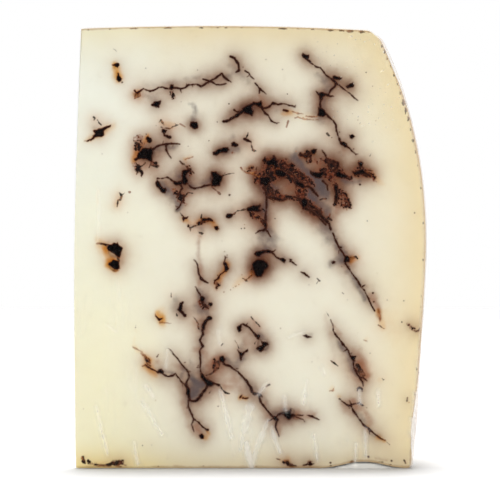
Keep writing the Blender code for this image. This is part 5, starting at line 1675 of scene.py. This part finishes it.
bpy.ops.mesh.select_all(action="SELECT")
bpy.ops.mesh.normals_make_consistent(inside=False)
bpy.ops.object.mode_set(mode="OBJECT")
bpy.ops.object.shade_smooth_by_angle(angle=math.radians(35))
print("crumbs:", len(spots_at), "with", len(crumbs.data.polygons), "faces")

# %% [markdown]
# Truffle is black-brown, finely grained and moist, so it is a little glossier than the paste.

# %% Truffle finish
truffle = Finish("moist_truffle")
speckle = truffle.grain(0.5, 4.0, centre=False)
tone = truffle.blend(truffle.ease(speckle, 0.5, 0.8), hue(6, 2, 2), hue(36, 17, 11))
truffle.feed(truffle.shader.inputs["Base Color"], tone)
truffle.feed(truffle.shader.inputs["Roughness"], 0.5 + (speckle - 0.5) * 0.3)
truffle.feed(truffle.shader.inputs["Normal"], truffle.bump(speckle, 0.5, 0.12))
truffle.shader.inputs["Specular IOR Level"].default_value = 0.05
crumbs.data.materials.clear()
crumbs.data.materials.append(truffle.material)
print("finished:", crumbs.name, "with", truffle.material.name)

# %% [markdown]
# ## The film
#
# Cling film is pulled over the wedge and gathered under it, so pleats fan up from the foot of the cut face.
# It stands off a little where it bridges the rounded shoulder and the foot, and hangs straight across the
# arch of the underside. It is modelled as one closed skin just outside the cheese. Its pleats are strokes
# too, raised as small ridges on a mesh that is cut finer along them. A pleat is r, z and width, and a hazy
# fold has a strength in front.

# %% Pleats
PLEATS = [
    [(46, 23.8, 0.6), (47.1, 19.8, 1.03), (48, 15.5, 1.12), (49.5, 9.4, 0.69)],
    [(55.1, 18.6, 2.32), (54.3, 14.9, 1.98), (53, 10, 1.29), (52.3, 5.7, 0.6)],
    [(54, 7.8, 0.94), (54.6, 4.1, 1.29), (56, 0.2, 1.03)],
    [(60.7, 14.9, 0.69), (58.9, 10, 1.12), (57.3, 6, 1.29), (55.7, 0.5, 1.03)],
    [(61.8, 12.7, 0.77), (62.9, 8.7, 1.2), (64.4, 4.8, 0.69)],
    [(60.5, 26.5, 0.77), (59.2, 24.4, 1.03), (57.8, 22.5, 0.6)],
    [(65.9, 22.2, 0.69), (66.1, 17.9, 0.77)],
    [(72.6, 27.1, 0.52), (71.6, 20.1, 0.69)],
    [(77.2, 30.8, 0.6), (78, 29, 0.6)],
    [(88.7, 24.1, 0.69), (89, 20.1, 0.77)],
    [(90.5, 12.1, 0.77), (90.7, 4.4, 0.86)],
    [(87.8, 7.5, 0.6), (87.5, 2.9, 0.69)],
    [(74.7, 10.3, 0.52), (75.9, 2.6, 0.6)],
    [(94.5, 23.8, 0.86), (94.7, 19.2, 0.86)],
    [(67.2, 40.2, 0.52), (69.3, 41.3, 0.69), (71.9, 41.7, 0.52)],
    [(21.8, 20.7, 0.6), (24.5, 16.7, 1.03), (28.1, 10.6, 0.6)],
    [(23.4, 25.3, 0.86), (25.3, 22.1, 0.69)],
    [(29.9, 36.3, 0.6), (29.4, 31.1, 0.69)],
    [(19.6, 7.8, 0.52), (20.8, 1.4, 0.6)],
    [(45.4, 42.5, 0.52), (45.8, 38.2, 0.52)],
    [(11.6, 44, 1.03), (13.9, 42.2, 0.86)],
    [(105.7, 23.2, 0.69), (105.7, 16.1, 0.86)],
    [(104.8, 15.2, 0.86), (104.8, 10, 0.86)],
    [(8.6, 85.4, 0.52), (8.8, 77.8, 0.6), (8.6, 69.8, 0.52)],
    [(8.1, 18.9, 0.52), (9.5, 12.4, 0.6), (11.5, 4.4, 0.52)],
]
HAZE = [
    (0.5, [(14.7, 56.3, 3.68), (15.9, 50.2, 4.29), (14.7, 44, 3.68)]),
    (0.4, [(4.6, 51.7, 3.07), (3, 42.5, 3.07)]),
    (0.4, [(21.5, 36.3, 3.07), (19.6, 27.1, 3.68), (23.3, 17.9, 3.07)]),
    (0.35, [(11.6, 24.1, 2.45), (12.9, 11.8, 2.45)]),
    (0.45, [(48.4, 14.9, 3.07), (50.9, 5.7, 3.07)]),
    (0.6, [(54.3, 11.8, 2.45), (55.2, 2, 3.07)]),
    (0.45, [(58.9, 8.7, 2.45)]),
    (0.35, [(72.1, 22.5, 3.07), (70.5, 19.5, 2.45)]),
    (0.3, [(84.3, 8.7, 3.07)]),
    (0.35, [(90.8, 8.7, 2.45)]),
    (0.35, [(45.4, 42.5, 2.45), (46.6, 37.9, 2.45)]),
]
pleat_discs = all_discs(PLEATS, 41, 0.35)
back_pleats = [[(r + 9, 138 - z, w) for r, z, w in nodes] for nodes in PLEATS[:14]]
back_pleat_discs = all_discs(back_pleats, 42, 0.6)
print("pleats:", len(PLEATS), "in front and", len(back_pleats), "behind")


def pleat_gap(places):
    """The gap to the nearest pleat, on whichever cut face each place is nearer to."""
    return on_both(
        places,
        lambda flat: gap_to(pleat_discs, flat),
        lambda flat: gap_to(back_pleat_discs, flat),
        5,
    )[0]


# %% The film's skin
film = wedge_block("film", across=72, up=90, turns=30, inset=0.0)
for reach in (1.2, 0.5):
    middles = face_middles(film)
    depth = on_cut_faces(middles)[2]
    under_arch = (middles[:, 2] < 4) & (middles[:, 0] - AXIS_X > 74)
    cut_finer(film, ((pleat_gap(middles) < reach) | under_arch) & (depth < 0.01))
places = corners_of(film)
r, z, depth, front = on_cut_faces(places)
gap = pleat_gap(places)
ridge = 0.35 * np.exp(-((np.clip(gap + 0.3, 0, 9) / 0.5) ** 2))
in_cling = SUCKED_IN * (1 + spread(places)) * np.clip(1.3 - depth, 0, 1)
inward = in_cling - ridge * np.clip(1 - depth, 0, 1)
places += inward[:, None] * np.where(front[:, None], into_front, into_back)
from_axis = places[:, :2] - (AXIS_X, AXIS_Y)
radius = np.hypot(*from_axis.T)
outer = np.clip(1 - (side_radius(z) - radius) / 4, 0, 1)
pulled = np.array([noise.noise(Vector((p[0] / 9, p[1] / 9, p[2] / 4))) for p in places])
bridge = (0.3 * np.exp(-(((z - 122) / 9) ** 2)) + 0.3 * np.exp(-(((z - 12) / 9) ** 2))) * (1 + 0.6 * pulled)
print("film stands off, mm:", round(float(bridge.max()), 2))
places[:, :2] += from_axis / np.maximum(radius, 1)[:, None] * (bridge * outer)[:, None]
web = underside_height(radius) * np.clip(1 - (z - underside_height(radius)) / 3, 0, 1)
places[:, 2] = np.maximum(places[:, 2] - web, 0)
move_corners(film, places)

# %% What the film's finish needs to know
keep(film, "web", np.clip((underside_height(radius) - places[:, 2]) / 0.5, 0, 1))
keep(film, "edge", np.clip(1.3 - (side_radius(z) - radius) / 0.9, 0, 1) * np.clip(2.2 - depth, 0, 1))
keep(film, "haze", shade_at(HAZE, np.column_stack((r, z))) * front)
keep(film, "corner", np.exp(-((r - 91) / 11) ** 2 - ((z - 121) / 15) ** 2) * (depth < 1))
keep(film, "crease", np.exp(-((np.clip(gap + 0.5, 0, 9) / 0.75) ** 2)))
keep(film, "rim", np.clip(1 - (side_radius(z) - radius) / 3.2, 0, 1))
keep(film, "low", np.exp(-((z / 26) ** 2)))
keep(film, "high", np.clip((z - 92) / 22, 0, 1))
only(film)
bpy.ops.object.shade_smooth_by_angle(angle=math.radians(50))
print("film:", len(film.data.polygons), "faces")

# %% [markdown]
# Clear film lets almost everything through and mirrors a little, more where it turns away. A pleat, and the
# gathered film along the rim, is several layers, so it is milky; that whiteness is also painted highlight,
# stronger on the low pleats and along the rind edge of the cut faces. The sparkles by the shoulder are
# painted glints, warm white spots in the film's colour. A Mix Shader between Transparent and Principled
# says that: where the film is single the Principled side is a mirror, and where it is gathered or painted
# it is milky white. Glass would be truer, but it dims what lies behind it.

# %% Film finish
wrap = Finish("cling_film")
crease, rim, web, edge = (wrap.number(name) for name in ("crease", "rim", "web", "edge"))
low, high, haze, corner = (wrap.number(name) for name in ("low", "high", "haze", "corner"))
glance = wrap.add("ShaderNodeFresnel", values={"IOR": 1.22}, out=0)
patchy = wrap.ease(wrap.grain(3.0, 2.0), -0.55, 0.35)
folded = wrap.ease(wrap.grain(5.0, 3.0, stretch=(1.0, 1.0, 0.35)), -0.15, 0.35)
# Gathered film along the rim is milky; the edge term also paints a pinkish white highlight along the rind
# edge of each cut face.
gathered_and_edge_sheen = rim * folded * (low * 1.5 + high * 0.6) + edge * 0.9
streaks = wrap.ease(wrap.grain(3.0, 3.0, stretch=(1.0, 1.0, 0.2)), -0.3, 0.5)
# Painted glints: small warm white spots on the film by the shoulder.
painted_sparkles = wrap.ease(wrap.grain(1.2, 1.0), 0.40, 0.46) * corner
# Pleats and hazy folds are milky where the film lies in layers; the extra whiteness on the low pleats is
# painted highlight.
milk_and_painted_sheen = crease * (0.75 + patchy * 0.25) * (0.16 + low * 0.3) + haze * streaks * 0.4
# The film across the arch is real, but its strong milkiness paints the shaded gap under the arch as a light
# grey.
milk_and_painted_sheen = milk_and_painted_sheen + gathered_and_edge_sheen * 0.34 + painted_sparkles * 0.8 + web * 0.8
shine = wrap.add("ShaderNodeMath", {"operation": "MINIMUM"}, {0: glance * 0.45, 1: 0.22})
share = shine + milk_and_painted_sheen
clear = wrap.add("ShaderNodeBsdfTransparent")
gauze = wrap.blend(gathered_and_edge_sheen, hue(255, 252, 244), hue(250, 238, 231))
wrap.feed(wrap.shader.inputs["Base Color"], wrap.blend(painted_sparkles, gauze, hue(255, 246, 216)))
wrap.feed(wrap.shader.inputs["Metallic"], wrap.ease(milk_and_painted_sheen, 0.0, 0.02, 1.0, 0.0))
wrap.shader.inputs["Roughness"].default_value = 0.2
crinkle = wrap.grain(2.4, 3.0, stretch=(1.0, 1.0, 0.5))
wrap.feed(wrap.shader.inputs["Normal"], wrap.bump(crinkle, 0.4, 0.15))
mixed = wrap.add("ShaderNodeMixShader", values={0: share, 1: clear, 2: Wire(wrap, wrap.shader.outputs[0])})
wrap.feed(wrap.tree.nodes["Material Output"].inputs["Surface"], mixed)
film.data.materials.clear()
film.data.materials.append(wrap.material)
print("finished:", film.name, "with", wrap.material.name)

# %% [markdown]
# ## Put together
#
# The three pieces ride on the frame's one body.

# %% Ride on the frame's body
for piece in (cheese, crumbs, film):
    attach(piece, "root")
